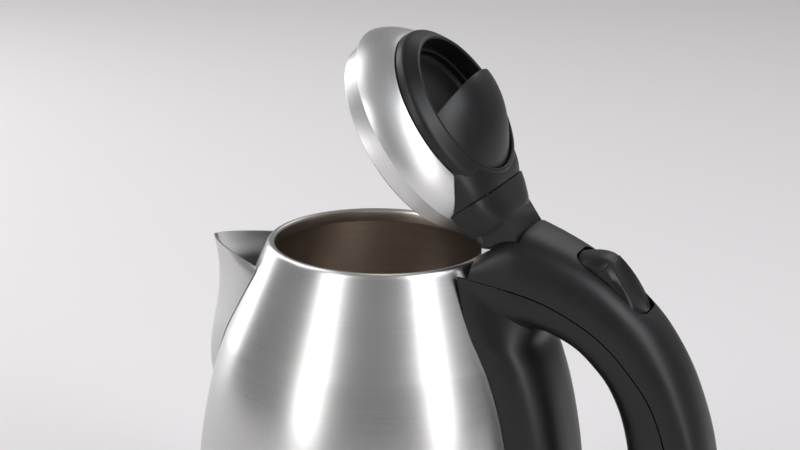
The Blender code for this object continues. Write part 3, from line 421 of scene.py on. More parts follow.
def steelMaterial(name, finish, turn=None):
    material, tree, shader = startMaterial(name, {"Metallic": 1.0})
    group = tree.nodes.new("ShaderNodeGroup")
    group.node_tree = brushing
    group.inputs["Fineness"].default_value = finish["fineness"]
    group.inputs["Length"].default_value = finish["length"]
    tree.links.new(objectPlace(tree, turn), group.inputs["Vector"])
    tree.links.new(blended(tree, group.outputs["Streak"], finish["dark"], finish["light"]),
                   shader.inputs["Base Color"])
    rough = addNode(tree, "ShaderNodeMath", operation="ADD")
    tree.links.new(mapped(tree, group.outputs["Streak"], *finish["roughness"]), rough.inputs[0])
    tree.links.new(mapped(tree, group.outputs["Cloud"], -0.02, 0.02), rough.inputs[1])
    tree.links.new(rough.outputs[0], shader.inputs["Roughness"])
    bump = addNode(tree, "ShaderNodeBump", [("Strength", finish["bump"]), ("Distance", 0.02 * mm)])
    tree.links.new(group.outputs["Streak"], bump.inputs["Height"])
    tree.links.new(bump.outputs["Normal"], shader.inputs["Normal"])
    return material


def plasticMaterial(name, finish):
    material, tree, shader = startMaterial(name, {"Specular IOR Level": finish.get("specular", 0.34)})
    group = tree.nodes.new("ShaderNodeGroup")
    group.node_tree = mouldGrain
    group.inputs["Grain"].default_value = finish["grain"]
    tree.links.new(objectPlace(tree), group.inputs["Vector"])
    tree.links.new(blended(tree, group.outputs["Cloud"], finish["dark"], finish["light"]),
                   shader.inputs["Base Color"])
    tree.links.new(mapped(tree, group.outputs["Cloud"], *finish["roughness"]),
                   shader.inputs["Roughness"])
    bump = addNode(tree, "ShaderNodeBump", [("Strength", finish["bump"]), ("Distance", 0.03 * mm)])
    tree.links.new(group.outputs["Height"], bump.inputs["Height"])
    tree.links.new(bump.outputs["Normal"], shader.inputs["Normal"])
    return material


satinSteel = {"fineness": 4200.0, "length": 14.0, "dark": (0.51, 0.51, 0.51),
              "light": (0.56, 0.56, 0.555), "roughness": (0.285, 0.305), "bump": 0.03}
# the lid's steel is the body's brushed steel painted lighter: painted light standing in for the brighter light on
# the lid's dome
paintedLighterLidFinish = {"fineness": 4200.0, "length": 14.0, "dark": (0.60, 0.60, 0.60),
             "light": (0.67, 0.67, 0.665), "roughness": (0.36, 0.39), "bump": 0.03}
innerSteelFinish = {"fineness": 1500.0, "length": 30.0, "dark": (0.50, 0.45, 0.41),
                    "light": (0.60, 0.55, 0.50), "roughness": (0.28, 0.36), "bump": 0.08}
plainSteel = {"fineness": 900.0, "length": 200.0, "dark": (0.55, 0.55, 0.57),
              "light": (0.68, 0.68, 0.70), "roughness": (0.22, 0.32), "bump": 0.15}
brassFinish = {"fineness": 900.0, "length": 200.0, "dark": (0.66, 0.46, 0.20),
               "light": (0.80, 0.60, 0.30), "roughness": (0.22, 0.34), "bump": 0.15}
aluminiumFinish = {"fineness": 1200.0, "length": 120.0, "dark": (0.66, 0.66, 0.68),
                   "light": (0.80, 0.80, 0.82), "roughness": (0.38, 0.5), "bump": 0.3}
bimetalFinish = {"fineness": 900.0, "length": 160.0, "dark": (0.52, 0.42, 0.34),
                 "light": (0.66, 0.56, 0.46), "roughness": (0.28, 0.4), "bump": 0.15}
caseFinish = {"grain": 2400.0, "dark": (0.0060, 0.0060, 0.0066), "light": (0.0085, 0.0085, 0.0094),
              "roughness": (0.34, 0.42), "bump": 0.12}
buttonFinish = {"grain": 3200.0, "dark": (0.0060, 0.0058, 0.0056), "light": (0.0085, 0.0082, 0.0080),
                "roughness": (0.34, 0.42), "bump": 0.1}
rubberFinish = {"grain": 1800.0, "dark": (0.012, 0.012, 0.012), "light": (0.025, 0.025, 0.025),
                "roughness": (0.75, 0.9), "bump": 0.5, "specular": 0.3}
nylonFinish = {"grain": 1500.0, "dark": (0.62, 0.61, 0.57), "light": (0.72, 0.71, 0.67),
               "roughness": (0.45, 0.55), "bump": 0.2}
siliconeFinish = {"grain": 1200.0, "dark": (0.42, 0.40, 0.38), "light": (0.52, 0.50, 0.47),
                  "roughness": (0.5, 0.62), "bump": 0.2}
redFinish = {"grain": 2000.0, "dark": (0.34, 0.020, 0.014), "light": (0.44, 0.035, 0.022),
             "roughness": (0.4, 0.5), "bump": 0.15}
blueFinish = {"grain": 2000.0, "dark": (0.020, 0.045, 0.30), "light": (0.030, 0.065, 0.40),
              "roughness": (0.4, 0.5), "bump": 0.15}

bodySteel = steelMaterial("brushedSteel", satinSteel)
# the lid's steel material uses the lighter copy, so the lid's extra brightness is painted light
paintedLighterLidSteel = steelMaterial("brushedSteelLidPaintedLighter", paintedLighterLidFinish, restOpening)
innerSteel = steelMaterial("innerSteel", innerSteelFinish)
linerSteel = steelMaterial("linerSteel", innerSteelFinish, restOpening)
screwSteel = steelMaterial("platedSteel", plainSteel)
brass = steelMaterial("brass", brassFinish)
aluminium = steelMaterial("aluminium", aluminiumFinish)
bimetal = steelMaterial("bimetal", bimetalFinish)
casePlastic = plasticMaterial("mouldedBlack", caseFinish)
buttonPlastic = plasticMaterial("buttonBlack", buttonFinish)
rubber = plasticMaterial("rubber", rubberFinish)
nylon = plasticMaterial("nylon", nylonFinish)
silicone = plasticMaterial("silicone", siliconeFinish)
redWire = plasticMaterial("redInsulation", redFinish)
blueWire = plasticMaterial("blueInsulation", blueFinish)
print("materials are made")


# jug
jug = {"rimRadius": 46.5 * mm, "rimEdge": 2.6 * mm, "shoulder": 51.4 * mm, "collar": 45.2 * mm,
       "collarDepth": 5.5 * mm, "coneTop": 48.05 * mm, "coneSlope": 0.433, "sheet": 0.8 * mm,
       "steamHole": (15 * mm, 3.6 * mm), "wireHole": (3.6 * mm, 3 * mm),
       "holePitch": 8 * mm, "holeRadius": 2.5 * mm,
       "wall": [(0.0, 0.0), (0.06, 0.062), (0.16, 0.31), (0.27, 0.53), (0.41, 0.745),
                (0.59, 0.905), (0.78, 0.98), (1.0, 1.0)],
       "holes": [(0.17, 5), (0.235, 4), (0.30, 5), (0.365, 4)]}
rimOuter = jug["rimRadius"] + jug["rimEdge"]
bodyHeight = rimZ - bodyBottom
wallTop = rimZ - 3 * mm
wallLine = [(jug["shoulder"] + f * (bodyRadius - jug["shoulder"]), wallTop - d * (wallTop - bodyBottom))
            for d, f in smoothLine(jug["wall"], 9)]
wallLine = [(min(r, jug["coneTop"] + jug["coneSlope"] * (rimZ - z)), z) for r, z in wallLine]


def wallRadius(z):
    for (r0, z0), (r1, z1) in zip(wallLine, wallLine[1:]):
        if z >= z1:
            return r0 + (r1 - r0) * min(max((z0 - z) / (z0 - z1), 0), 1)
    return bodyRadius


def wallSolid(name, clearance):
    # the jug's outside as a solid, to trim what sits against it
    line = [(0, rimZ + 0.6 * mm), (jug["rimRadius"] + clearance, rimZ + 0.6 * mm),
            (jug["rimRadius"] + 2 * mm + clearance, rimZ - 1.2 * mm)]
    line += [(r + clearance, z) for r, z in wallLine]
    line += [(bodyRadius + clearance, bodyBottom - 8 * mm), (0, bodyBottom - 8 * mm)]
    return turnedPiece(name, line, 160)


def makeJug():
    collar, rim = jug["collar"], jug["rimRadius"]
    lip = [(collar, rimZ - jug["collarDepth"]), (collar, rimZ - 1.6 * mm),
           (collar + 0.2 * mm, rimZ - 0.8 * mm), (collar + 0.7 * mm, rimZ - 0.22 * mm), (rim, rimZ),
           (rim + 0.7 * mm, rimZ - 0.1 * mm), (rim + 1.35 * mm, rimZ - 0.45 * mm),
           (rim + 1.9 * mm, rimZ - 1.05 * mm), (rim + 2.35 * mm, rimZ - 1.9 * mm)]
    body = turnedPiece("jug_body", lip + wallLine, 160, jug["sheet"])
    for drop, count in jug["holes"]:
        z = rimZ - drop * bodyHeight
        for k in range(count):
            turn = (k - (count - 1) / 2) * jug["holePitch"] / wallRadius(z)
            outward = Vector((-cos(turn), sin(turn), 0))
            middle = outward * wallRadius(z) + Vector((0, 0, z))
            reach = outward * 6 * mm
            combine(body, rodPiece("strainer_drill", middle - reach, middle + reach,
                                   jug["holeRadius"], 20))
    (steamDrop, steamRadius), (wireRise, wireRadius) = jug["steamHole"], jug["wireHole"]
    for z, radius in ((rimZ - steamDrop, steamRadius), (bodyBottom + wireRise, wireRadius)):
        combine(body, rodPiece("rear_drill", (40 * mm, 0, z), (bodyRadius + 6 * mm, 0, z), radius, 32))
    finishPiece(body, "jug", bodySteel, ["body_shell"], 30)
    body.data.materials.append(innerSteel)
    for face in body.data.polygons:
        out = Vector((face.center.x, face.center.y, 0))
        if face.normal.dot(out) < 0 and face.center.z < rimZ - 0.5 * mm:
            face.material_index = 1


# down the ridge: share of the jug's height, reach beyond the rim, half width, dip at the sides
spout = {"rows": [(0.053, 33.5, 31, 3.5), (0.085, 32.3, 32, 0.6), (0.13, 31.0, 31.5, 0),
                  (0.19, 30.7, 30.3, 0), (0.25, 31.6, 28.2, 0), (0.31, 33.3, 25.8, 0),
                  (0.37, 34.7, 22.8, 0), (0.43, 35.2, 18.5, 0), (0.48, 34.2, 13.5, 0),
                  (0.53, 31.5, 9.0, 0), (0.57, 24.0, 8.0, 0)],
         "sheet": 0.8 * mm}


def makeSpout():
    rows = []
    for drop, reach, half, dip in smoothLine(spout["rows"], 6):
        z = rimZ - drop * bodyHeight
        half *= mm
        seat = sqrt(max(wallRadius(z) ** 2 - half ** 2, 0)) - 3 * mm
        ridge = jug["rimRadius"] + reach * mm
        row = []
        for j in range(-32, 33):
            side = abs(j) / 32
            x = -(ridge + (seat - ridge) * (0.35 * side ** 2.2 + 0.65 * side ** 1.25))
            row.append((x, j / 32 * half, z - dip * mm * side ** 1.6))
        rows.append(row)
    piece = skinnedPiece("pouring_spout", rows)
    middle = piece.data.polygons[len(piece.data.polygons) // 2]
    if middle.normal.x > 0:
        flipFaces(piece)
    applyModifier(piece, "SOLIDIFY", thickness=spout["sheet"], offset=-1, use_even_offset=True)
    combine(piece, wallSolid("spout_seat", gap))
    finishPiece(piece, "jug", bodySteel, ["spout"], 40)


makeJug()
makeSpout()
print("jug and spout are made")


# skirt and power base
foot = {"wall": 2.2 * mm, "outletZ": 9 * mm, "outletRadius": 3.6 * mm, "towerRadius": 15.6 * mm}


def makeSkirt():
    lip, top = bodyRadius - 1.15 * mm, bodyBottom - gap
    tall, wall = top - skirtLow, foot["wall"]
    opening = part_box("kettle_socket")[1].x + 2 * mm
    outer = [(lip, bodyBottom + 5 * mm), (lip, top), (bodyRadius - 0.1 * mm, top),
             (bodyRadius - 0.1 * mm, top - 0.15 * tall), (bodyRadius - 0.6 * mm, top - 0.47 * tall),
             (bodyRadius - 2.4 * mm, top - 0.78 * tall), (bodyRadius - 5 * mm, skirtLow),
             (opening, skirtLow)]
    inner = [(opening, skirtLow + wall), (bodyRadius - 7.4 * mm, skirtLow + wall),
             (bodyRadius - 5 * mm, top - 0.6 * tall), (lip - wall, top - 4 * mm),
             (lip - wall, bodyBottom + 5 * mm)]
    piece = turnedPiece("jug_skirt", roundedLine(outer, 1.6 * mm) + inner, 144, closed=True)
    for k in (1, 2, 3):
        low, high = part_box("skirt_screw_%d" % k)
        middle = (low + high) / 2
        combine(piece, rodPiece("well", (middle.x, middle.y, skirtLow - 2 * mm),
                                (middle.x, middle.y, skirtLow + 6 * mm),
                                (high.x - low.x) / 2 + 0.3 * mm))
    combine(piece, rodPiece("wire_drill", (60 * mm, 0, bodyBottom + 2.4 * mm),
                            (bodyRadius + 4 * mm, 0, bodyBottom + 2.4 * mm), 3.4 * mm, 32))
    finishPiece(piece, "jug", casePlastic, ["base_skirt"], 40)


def makeBaseCover():
    wall = foot["wall"]
    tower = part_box("connector_tower")[1].x
    inner, outer = foot["towerRadius"] + gap, tower
    line = [(inner, baseTop - 6 * mm), (inner, baseTop + 2.2 * mm),
            (outer - 1.5 * mm, baseTop + 2.2 * mm),
            (outer, baseTop), (baseRadius - 9 * mm, baseTop), (baseRadius - 4 * mm, baseTop - 1.2 * mm),
            (baseRadius - 1 * mm, baseTop - 5 * mm), (baseRadius, baseTop - 10 * mm),
            (baseRadius, baseFoot)]
    piece = turnedPiece("base_cover", roundedLine(line, 1.2 * mm), 144, wall)
    outletZ = foot["outletZ"]
    combine(piece, rodPiece("outlet", (baseRadius - 12 * mm, 0, outletZ),
                            (baseRadius + 4 * mm, 0, outletZ), foot["outletRadius"], 40))
    finishPiece(piece, "power_base", casePlastic, ["base_top_cover"], 40)


def makeTower():
    r, low = foot["towerRadius"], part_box("connector_tower")[0].z
    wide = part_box("connector_tower")[1].x
    line = [(2.6 * mm, towerTop), (7.4 * mm, towerTop), (7.4 * mm, towerTop - 11 * mm),
            (11 * mm, towerTop - 11 * mm), (11 * mm, towerTop), (r, towerTop), (r, baseTop - 8.5 * mm),
            (wide, baseTop - 8.5 * mm), (wide, low), (2.6 * mm, low)]
    piece = turnedPiece("base_tower", roundedLine(line + [line[0]], 0.5 * mm), 96)
    finishPiece(piece, "power_base", casePlastic, ["connector_tower"], 40)


makeSkirt()
makeBaseCover()
makeTower()
print("skirt and power base are made")


# handle
# side view of the loop, back from the rim's edge and down from the rim: inside, seam,
# outside, half width
handle = {"rows": [((29.6, -27.2), (-4.0, -3.2), (3.0, 17.0), 25.2),
                   ((31.5, -26.2), (13.0, -5.7), (15.0, 17.0), 24.4),
                   ((37.0, -28.5), (31.0, -10.3), (35.0, 10.5), 22.2),
                   ((45.0, -33.0), (46.0, -17.2), (52.0, 2.2), 20.5),
                   ((52.0, -39.8), (58.0, -25.2), (67.0, -8.8), 19.5),
                   ((58.0, -47.5), (68.5, -35.8), (79.5, -21.0), 18.8),
                   ((63.5, -60.0), (79.5, -51.0), (91.5, -40.5), 18.3),
                   ((67.0, -75.0), (87.0, -73.0), (101.0, -67.0), 18.0),
                   ((68.3, -90.0), (89.0, -92.0), (103.6, -90.0), 18.0),
                   ((66.2, -102.0), (85.5, -108.0), (100.5, -114.0), 18.5),
                   ((60.5, -111.0), (75.0, -122.0), (88.0, -134.5), 19.5),
                   ((52.5, -114.5), (57.0, -133.0), (63.0, -148.0), 22.0),
                   ((46.5, -111.0), (27.0, -140.0), (27.0, -153.0), 26.0)],
          "spine": [-107, -92, -75, -57, -43, -33], "spineDepth": 14.7 * mm, "spineHalf": 28 * mm,
          "wall": 2.2 * mm, "seam": 0.6 * mm}


def loopPoint(x, z):
    return Vector((rimOuter + x * mm, 0, rimZ + z * mm))


stations = [(loopPoint(i, j), loopPoint(s, t), loopPoint(o, p), w * mm)
            for i, j, s, t, o, p, w in smoothLine([(*a, *b, *c, w) for a, b, c, w in handle["rows"]], 7)]


def channelRow(edge, crest, half, power, count=18):
    row = []
    for j in range(-count, count + 1):
        a = pi / 2 * (1 - abs(j) / count)
        place = edge + (crest - edge) * sin(a) ** (2 / power)
        width = half * cos(a) ** (2 / power) if j else 0
        row.append((place.x, width if j > 0 else -width, place.z))
    return row


def makeLowerShell():
    spine = []
    for drop in handle["spine"]:
        z = rimZ + drop * mm
        half = handle["spineHalf"]
        seat = sqrt(wallRadius(z) ** 2 - half ** 2) - 4 * mm
        spine.append((seat, z + 8 * mm, wallRadius(z) + handle["spineDepth"], z, half))
    loop = [(seam.x, seam.z, inner.x, inner.z, half) for inner, seam, outer, half in stations]
    joined = [loop[-2], loop[-1]] + spine + [loop[0], loop[1]]
    joined = smoothLine(joined, 6)[6:-6]
    rows = [channelRow(Vector((a, 0, b)), Vector((c, 0, d)), half, 2.7)
            for a, b, c, d, half in loop[1:-1] + joined]
    rows.append(rows[0])
    piece = skinnedPiece("lower_handle", rows)
    tidyMesh(piece)
    if sum(f.normal.x * f.area for f in piece.data.polygons if f.center.x > rimOuter + 62 * mm
           and abs(f.center.z - rimZ + 80 * mm) < 10 * mm) > 0:
        flipFaces(piece)
    applyModifier(piece, "SOLIDIFY", thickness=handle["wall"], offset=-1, use_even_offset=True)
    combine(piece, wallSolid("handle_seat", 0.25 * mm))
    finishPiece(piece, "jug", casePlastic, ["handle_lower_shell"], 40)


def outerFrame(x):
    # place and slope of the handle's outside line at a distance along X
    line = [outer for inner, seam, outer, half in stations]
    for a, b in zip(line, line[1:]):
        if a.x <= x <= b.x:
            place, along = a.lerp(b, (x - a.x) / (b.x - a.x)), (b - a).normalized()
            return Matrix.Translation(place) @ Matrix.Rotation(atan2(-along.z, along.x), 4, "Y")


rocker = {"pivot": (4, -4), "half": 10 * mm, "clear": 0.5 * mm, "front": -17.4, "apex": -5.0,
          "rear": 19.0, "apexHeight": 5.7, "frontHeight": -1.9, "rearHeight": -2.6, "scoop": 2.4}
rockerFrame = Matrix.Translation(rockerPivot) @ Matrix.Rotation(
    outerFrame(rimOuter + 57 * mm).to_euler().y, 4, "Y") @ Matrix.Translation(
        (-rocker["pivot"][0] * mm, 0, -rocker["pivot"][1] * mm))
barrel = {"radius": 9.2 * mm, "half": 16.5 * mm}


def makeUpperShell():
    front = Vector((rimOuter + 0.9 * mm, 0, rimZ - 3.2 * mm))
    low = Vector((rimOuter + 2.6 * mm, 0, rimZ + 6.5 * mm))
    inner, seam, outer, half = stations[9]
    lift = (outer - seam).normalized() * handle["seam"]
    rows = []
    for k in range(9):
        t = k / 9
        swell = Vector((0, 0, 2.6 * mm * sin(pi * t)))
        rows.append(channelRow(front.lerp(seam + lift, t), low.lerp(outer, t) + swell,
                               25.2 * mm + (half - 25.2 * mm) * t, 3.0))
    for k, (inner, seam, outer, half) in enumerate(stations[9:]):
        lift = (outer - seam).normalized() * handle["seam"]
        rows.append(channelRow(seam + lift, outer, half, 3.0 - 0.5 * min(k / 30, 1)))
    piece = skinnedPiece("upper_handle", rows)
    if sum(f.normal.z * f.area for f in piece.data.polygons) < 0:
        flipFaces(piece)
    applyModifier(piece, "SOLIDIFY", thickness=handle["wall"], offset=-1, use_even_offset=True)
    combine(piece, wallSolid("shell_seat", 0.25 * mm))
    notch = barrel["half"] + 0.4 * mm
    combine(piece, blockPiece("hinge_notch", (rimOuter - 20 * mm, -notch, rimZ - 6 * mm),
                              (pin.x + barrel["radius"] - 1.3 * mm, notch, rimZ + 30 * mm)))
    combine(piece, rodPiece("barrel_room", pin - Vector((0, notch + 0.2 * mm, 0)),
                            pin + Vector((0, notch + 0.2 * mm, 0)), barrel["radius"] + 0.5 * mm, 64))
    side, end = rocker["half"] + rocker["clear"], 0.7 * mm
    slot = blockPiece("rocker_slot", (rocker["front"] * mm - end, -side, -14 * mm),
                      (rocker["rear"] * mm + end, side, 16 * mm))
    applyModifier(slot, "BEVEL", width=6 * mm, segments=8, limit_method="ANGLE")
    slot.matrix_world = rockerFrame
    combine(piece, slot)
    low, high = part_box("hinge_bracket")
    room = Vector((0.4 * mm, 0.4 * mm, 0.4 * mm))
    combine(piece, blockPiece("bracket_room", low - room, high + room))
    boreFor(piece, "hinge_pin", (0, 1, 0))
    boreFor(piece, "switch_pin", (0, 1, 0))
    finishPiece(piece, "jug", casePlastic, ["handle_upper_shell"], 40)


def rockerHeight(t, s):
    # t runs back along the handle in mm, s from -1 to 1 across the button
    side = abs(s)
    if t < rocker["apex"]:
        u = (t - rocker["front"]) / (rocker["apex"] - rocker["front"])
        climb = rocker["apexHeight"] - rocker["frontHeight"]
        top = rocker["frontHeight"] + climb * sin(u * pi / 2) ** 1.15
        return top - (2.6 + 1.6 * u) * side ** 3
    u = (t - rocker["apex"]) / (rocker["rear"] - rocker["apex"])
    ridge = rocker["apexHeight"] + (rocker["rearHeight"] - rocker["apexHeight"]) * u ** 0.92
    oval = 0.90 * max(sin(pi * min(u * 0.94 + 0.03, 1)), 0.0) ** 0.42
    inside = max(1 - (side / max(oval, 0.05)) ** 2, 0)
    fall = max(side - oval, 0) / (1 - oval)
    dish = rocker["scoop"] * inside ** 0.8 * sin(pi * u) ** 0.5
    return ridge - dish - 2.2 * fall ** 1.4 * (1 - 0.5 * u)


def makeRocker():
    rows = []
    lengths = [rocker["front"] + (rocker["rear"] - rocker["front"]) * k / 96 for k in range(97)]
    for t in lengths:
        end = min(t - rocker["front"], rocker["rear"] - t) / 6
        half = rocker["half"] * (1 - 0.42 * max(1 - end, 0) ** 2.2)
        row = [(t * mm, half * s, rockerHeight(t, s) * mm) for s in (k / 30 for k in range(-30, 31))]
        rows.append(row)
    piece = skinnedPiece("rocker_button", rows)
    pick(piece)
    bpy.ops.object.mode_set(mode="EDIT")
    bpy.ops.mesh.select_all(action="SELECT")
    bpy.ops.mesh.normals_make_consistent(inside=False)
    bpy.ops.mesh.select_all(action="DESELECT")
    bpy.ops.mesh.select_non_manifold()
    bpy.ops.mesh.extrude_region_move(TRANSFORM_OT_translate={"value": (0, 0, -6 * mm)})
    bpy.ops.transform.resize(value=(1, 1, 0), center_override=(0, 0, -7 * mm))
    bpy.ops.mesh.fill()
    bpy.ops.mesh.select_all(action="SELECT")
    bpy.ops.mesh.normals_make_consistent(inside=False)
    bpy.ops.object.mode_set(mode="OBJECT")
    applyModifier(piece, "BEVEL", width=0.35 * mm, segments=3, limit_method="ANGLE",
                  angle_limit=radians(50))
    piece.matrix_world = rockerFrame
    pick(piece)
    bpy.ops.object.transform_apply(location=True, rotation=True, scale=True)
    boreFor(piece, "switch_pin", (0, 1, 0), 0.1 * mm)
    finishPiece(piece, "rocker", buttonPlastic, ["switch_rocker"], 40)


makeLowerShell()
makeUpperShell()
makeRocker()
print("handle and rocker are made")


# lid, modelled closed
lid = {"wallHeight": 13.2 * mm, "topRadius": 37.5 * mm, "sheet": 0.7 * mm, "plugRadius": 43.6 * mm,
       "plugDepth": 8.6 * mm, "recess": 30.3 * mm, "capHeight": 7.8 * mm, "recessDepth": 6.4 * mm,
       "gripRise": 13.2 * mm}
capFoot = rimZ + lid["wallHeight"] + gap
recessFloor = capFoot - lid["recessDepth"] + 2.2 * mm


def domeLine(steps, clearance=0.0):
    # the lid's steel side from its flat top down to the rim: a cone with a soft dome
    low, high = jug["rimRadius"] + 0.2 * mm, lid["topRadius"]
    rise = lid["wallHeight"] - 0.5 * mm
    line = []
    for k in range(steps + 1):
        t = k / steps
        across = 0.42 * t + 0.58 * sin(t * pi / 2)
        line.append((high + (low - high) * across + clearance,
                     rimZ + 0.5 * mm + rise * (1 - t ** 1.12) + clearance))
    return line


def makeLidShell():
    low = jug["rimRadius"] + 0.2 * mm
    wall = domeLine(20)
    plug, deep = lid["plugRadius"], rimZ - lid["plugDepth"]
    line = [(lid["recess"] + 1.8 * mm, rimZ + lid["wallHeight"])] + wall
    line += [(low - 0.1 * mm, rimZ + 0.35 * mm), (low - 0.4 * mm, rimZ + 0.3 * mm),
             (plug + 0.6 * mm, rimZ + 0.3 * mm), (plug + 0.15 * mm, rimZ + 0.1 * mm),
             (plug, rimZ - 0.5 * mm), (plug, deep + 0.5 * mm), (plug - 0.4 * mm, deep)]
    piece = turnedPiece("lid_dome", line, 144, lid["sheet"])
    standOpen(piece)
    for k in (1, 2):
        boreFor(piece, "knuckle_screw_%d" % k, lidTurn.to_3x3() @ Vector((0, 0, 1)))
    finishPiece(piece, "lid", paintedLighterLidSteel, ["lid_shell"], 30)


def makeLiner():
    inside, deep = lid["plugRadius"] - lid["sheet"] - 0.2 * mm, rimZ - lid["plugDepth"]
    line = [(inside, rimZ - 3 * mm), (inside, deep + 1.2 * mm), (inside - 1.2 * mm, deep),
            (inside - 7 * mm, deep), (inside - 9 * mm, deep + 1.6 * mm),
            (inside - 22 * mm, deep + 1.6 * mm),
            (inside - 24 * mm, deep + 0.9 * mm), (0, deep + 0.9 * mm)]
    piece = turnedPiece("lid_plate", roundedLine(line, 1.2 * mm), 128, lid["sheet"])
    standOpen(piece)
    finishPiece(piece, "lid", linerSteel, ["lid_liner"], 40)


# neck stations: share of the lid's top radius back and across, rise above the lid's steel
neck = {"rows": [(0.240, 0.960, 6.8), (0.400, 0.935, 7.9), (0.560, 0.895, 8.2),
                 (0.720, 0.850, 8.2), (0.860, 0.800, 7.4), (0.968, 0.760, 5.9)],
        "power": 3.2, "foot": 2 * mm}


def archRow(x, half, foot, crest, power, count=24):
    row = []
    for k in range(-count, count + 1):
        a = pi / 2 * (1 - abs(k) / count)
        y = half * cos(a) ** (2 / power) if k else 0
        z = foot + (crest - foot) * sin(a) ** (2 / power)
        row.append((x, y if k > 0 else -y, z))
    return row


def closedLoft(name, rows):
    # an open loft whose border is filled flat
    piece = skinnedPiece(name, rows)
    pick(piece)
    bpy.ops.object.mode_set(mode="EDIT")
    bpy.ops.mesh.select_all(action="DESELECT")
    bpy.ops.mesh.select_non_manifold()
    bpy.ops.mesh.fill()
    bpy.ops.mesh.select_all(action="SELECT")
    bpy.ops.mesh.normals_make_consistent(inside=False)
    bpy.ops.object.mode_set(mode="OBJECT")
    return piece


def makeCap():
    foot, top, floor = capFoot, capFoot + lid["capHeight"], recessFloor
    radius, wide = lid["recess"], lid["topRadius"]
    ring = [(0, floor), (radius - 3 * mm, floor), (radius - 0.3 * mm, floor + 3 * mm),
            (radius, top - 0.6 * mm), (radius + 0.5 * mm, top), (radius + 1.6 * mm, top - 0.2 * mm),
            (wide - 1.6 * mm, foot + 4.4 * mm), (wide - 0.6 * mm, foot + 3.2 * mm),
            (wide - 0.3 * mm, foot), (radius - 1.7 * mm, foot), (radius - 1.7 * mm, floor - 2.2 * mm),
            (0, floor - 2.2 * mm)]
    piece = turnedPiece("lid_cap_ring", roundedLine(ring, 0.7 * mm), 128)
    rows = []
    for back, across, rise in smoothLine(neck["rows"], 6):
        crest = rimZ + lid["wallHeight"] + rise * mm
        rows.append(archRow(back * wide, across * wide, rimZ - neck["foot"], crest, neck["power"]))
    stem = closedLoft("lid_neck", rows)
    combine(stem, lidForm("neck_seat", 0.25 * mm))
    combine(stem, rodPiece("neck_recess", (0, 0, floor - 6 * mm), (0, 0, rimZ + 60 * mm),
                           radius + 0.5 * mm, 128))
    combine(piece, stem, "UNION")
    standOpen(piece)
    for screw in ("knuckle_screw_1", "knuckle_screw_2", "grip_screw_1", "grip_screw_2"):
        boreFor(piece, screw, lidTurn.to_3x3() @ Vector((0, 0, 1)))
    finishPiece(piece, "lid", casePlastic, ["lid_cap"], 44)


def gripHeight(x, y):
    radius = lid["recess"] - 0.7 * mm
    edge = rimZ + lid["wallHeight"] + lid["capHeight"] - 0.9 * mm
    out = min((x * x + y * y) / radius ** 2, 1)
    return edge + lid["gripRise"] * (1 - 0.22 * x / radius) * (1 - out ** 1.15)


def makeGrip():
    radius = lid["recess"] - 0.55 * mm
    rows = []
    for k in range(61):
        sweep = -sin(pi / 2 * (1 - k / 30))
        y = radius * 0.995 * sweep
        front = (-8.6 + 6.4 * sweep * sweep) * mm
        back = max(sqrt(max(radius ** 2 - y * y, 0)), front + 1.2 * mm)
        rows.append([(x, y, gripHeight(x, y)) for x in
                     (front + (back - front) * sin(pi / 2 * j / 30) for j in range(31))])
    piece = skinnedPiece("lid_thumb_grip", rows)
    if sum(f.normal.z * f.area for f in piece.data.polygons) < 0:
        flipFaces(piece)
    applyModifier(piece, "SOLIDIFY", thickness=2 * mm, offset=-1)
    applyModifier(piece, "BEVEL", width=0.4 * mm, segments=3, limit_method="ANGLE",
                  angle_limit=radians(50))
    standOpen(piece)
    finishPiece(piece, "lid", casePlastic, ["lid_grip"], 40)


hood = {"half": 28.4 * mm, "foot": 1.2 * mm, "rear": 11.4 * mm, "power": 3.2}


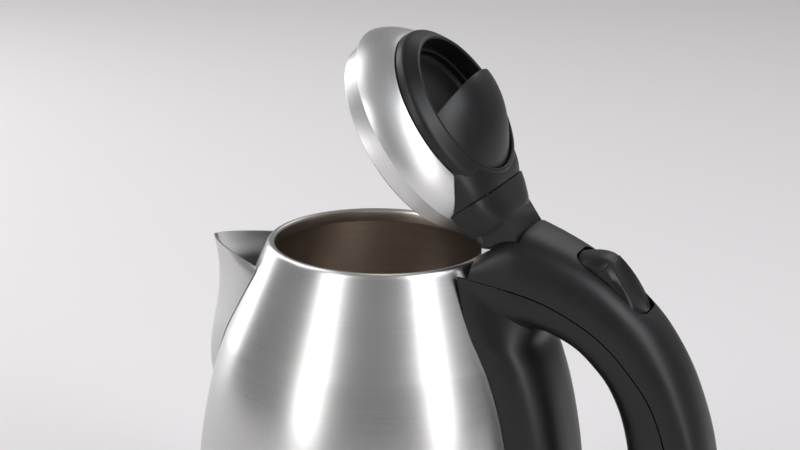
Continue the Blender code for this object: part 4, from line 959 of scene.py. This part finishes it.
def makeHood():
    start, rear = 36.65 * mm, pin.x - hood["rear"]
    stationsBack = [(start, 19.5 * mm, hood["half"]),
                    (start + 4 * mm, 19.0 * mm, hood["half"] - 1.4 * mm),
                    (rear - 3 * mm, 18.0 * mm, hood["half"] - 5 * mm),
                    (rear, 17.0 * mm, hood["half"] - 7 * mm)]
    piece = closedLoft("hinge_hood", [archRow(x, half, rimZ + hood["foot"], rimZ + crest, hood["power"])
                                      for x, crest, half in smoothLine(stationsBack, 5)])
    half = barrel["half"] - 0.3 * mm
    web = blockPiece("web", (rear - 3 * mm, -half, pin.z - 3.6 * mm),
                     (pin.x, half, pin.z + barrel["radius"]))
    across = Vector((0, half, 0))
    roll = rodPiece("barrel", pin - across, pin + across, barrel["radius"], 96)
    combine(web, roll, "UNION")
    applyModifier(web, "BEVEL", width=0.6 * mm, segments=3, limit_method="ANGLE",
                  angle_limit=radians(50))
    combine(piece, web, "UNION")
    combine(piece, lidForm("hood_seat", 0.2 * mm))
    combine(piece, blockPiece("spring_room", (rear - 6 * mm, -7.5 * mm, rimZ - 8 * mm),
                              (pin.x + 20 * mm, 7.5 * mm, rimZ + 12.6 * mm)))
    through = Vector((0, 40 * mm, 0))
    combine(piece, rodPiece("pin_bore", pin - through, pin + through, 2 * mm, 32))
    standOpen(piece)
    finishPiece(piece, "lid", casePlastic, ["hinge_knuckle"], 40)


def lidForm(name, clearance):
    low = jug["rimRadius"] + 0.2 * mm
    line = [(0, rimZ + lid["wallHeight"] + clearance)] + domeLine(16, clearance)
    line += [(low + clearance, rimZ - 6 * mm), (0, rimZ - 6 * mm)]
    return turnedPiece(name, line, 128)


makeLidShell()
makeLiner()
makeCap()
makeGrip()
makeHood()
print("lid is made")

# CAD pieces that keep their shape
keptFinishes = {"heating_plate": innerSteel, "heat_spreader": aluminium, "heating_element": aluminium,
                "control_housing": nylon, "steam_switch_housing": nylon, "switch_lever": nylon,
                "steam_tube": silicone, "switch_wire_live": redWire, "switch_wire_neutral": blueWire,
                "kettle_socket": casePlastic, "base_bottom_cover": casePlastic}
finishBySlot = {"rubber": rubber, "brass": brass, "screw_steel": screwSteel, "bimetal": bimetal,
                "aluminium": aluminium, "black_plastic": casePlastic, "inner_steel": innerSteel,
                "brushed_steel": bodySteel, "button_plastic": buttonPlastic, "white_nylon": nylon}
slotOf = {part["node"]: part["material_slot"] for part in frame["record"]["subparts"]}
for name, node in frame["nodes"].items():
    node.data.materials.clear()
    node.data.materials.append(keptFinishes.get(name) or finishBySlot[slotOf[name]])
print("kept parts have their finishes")
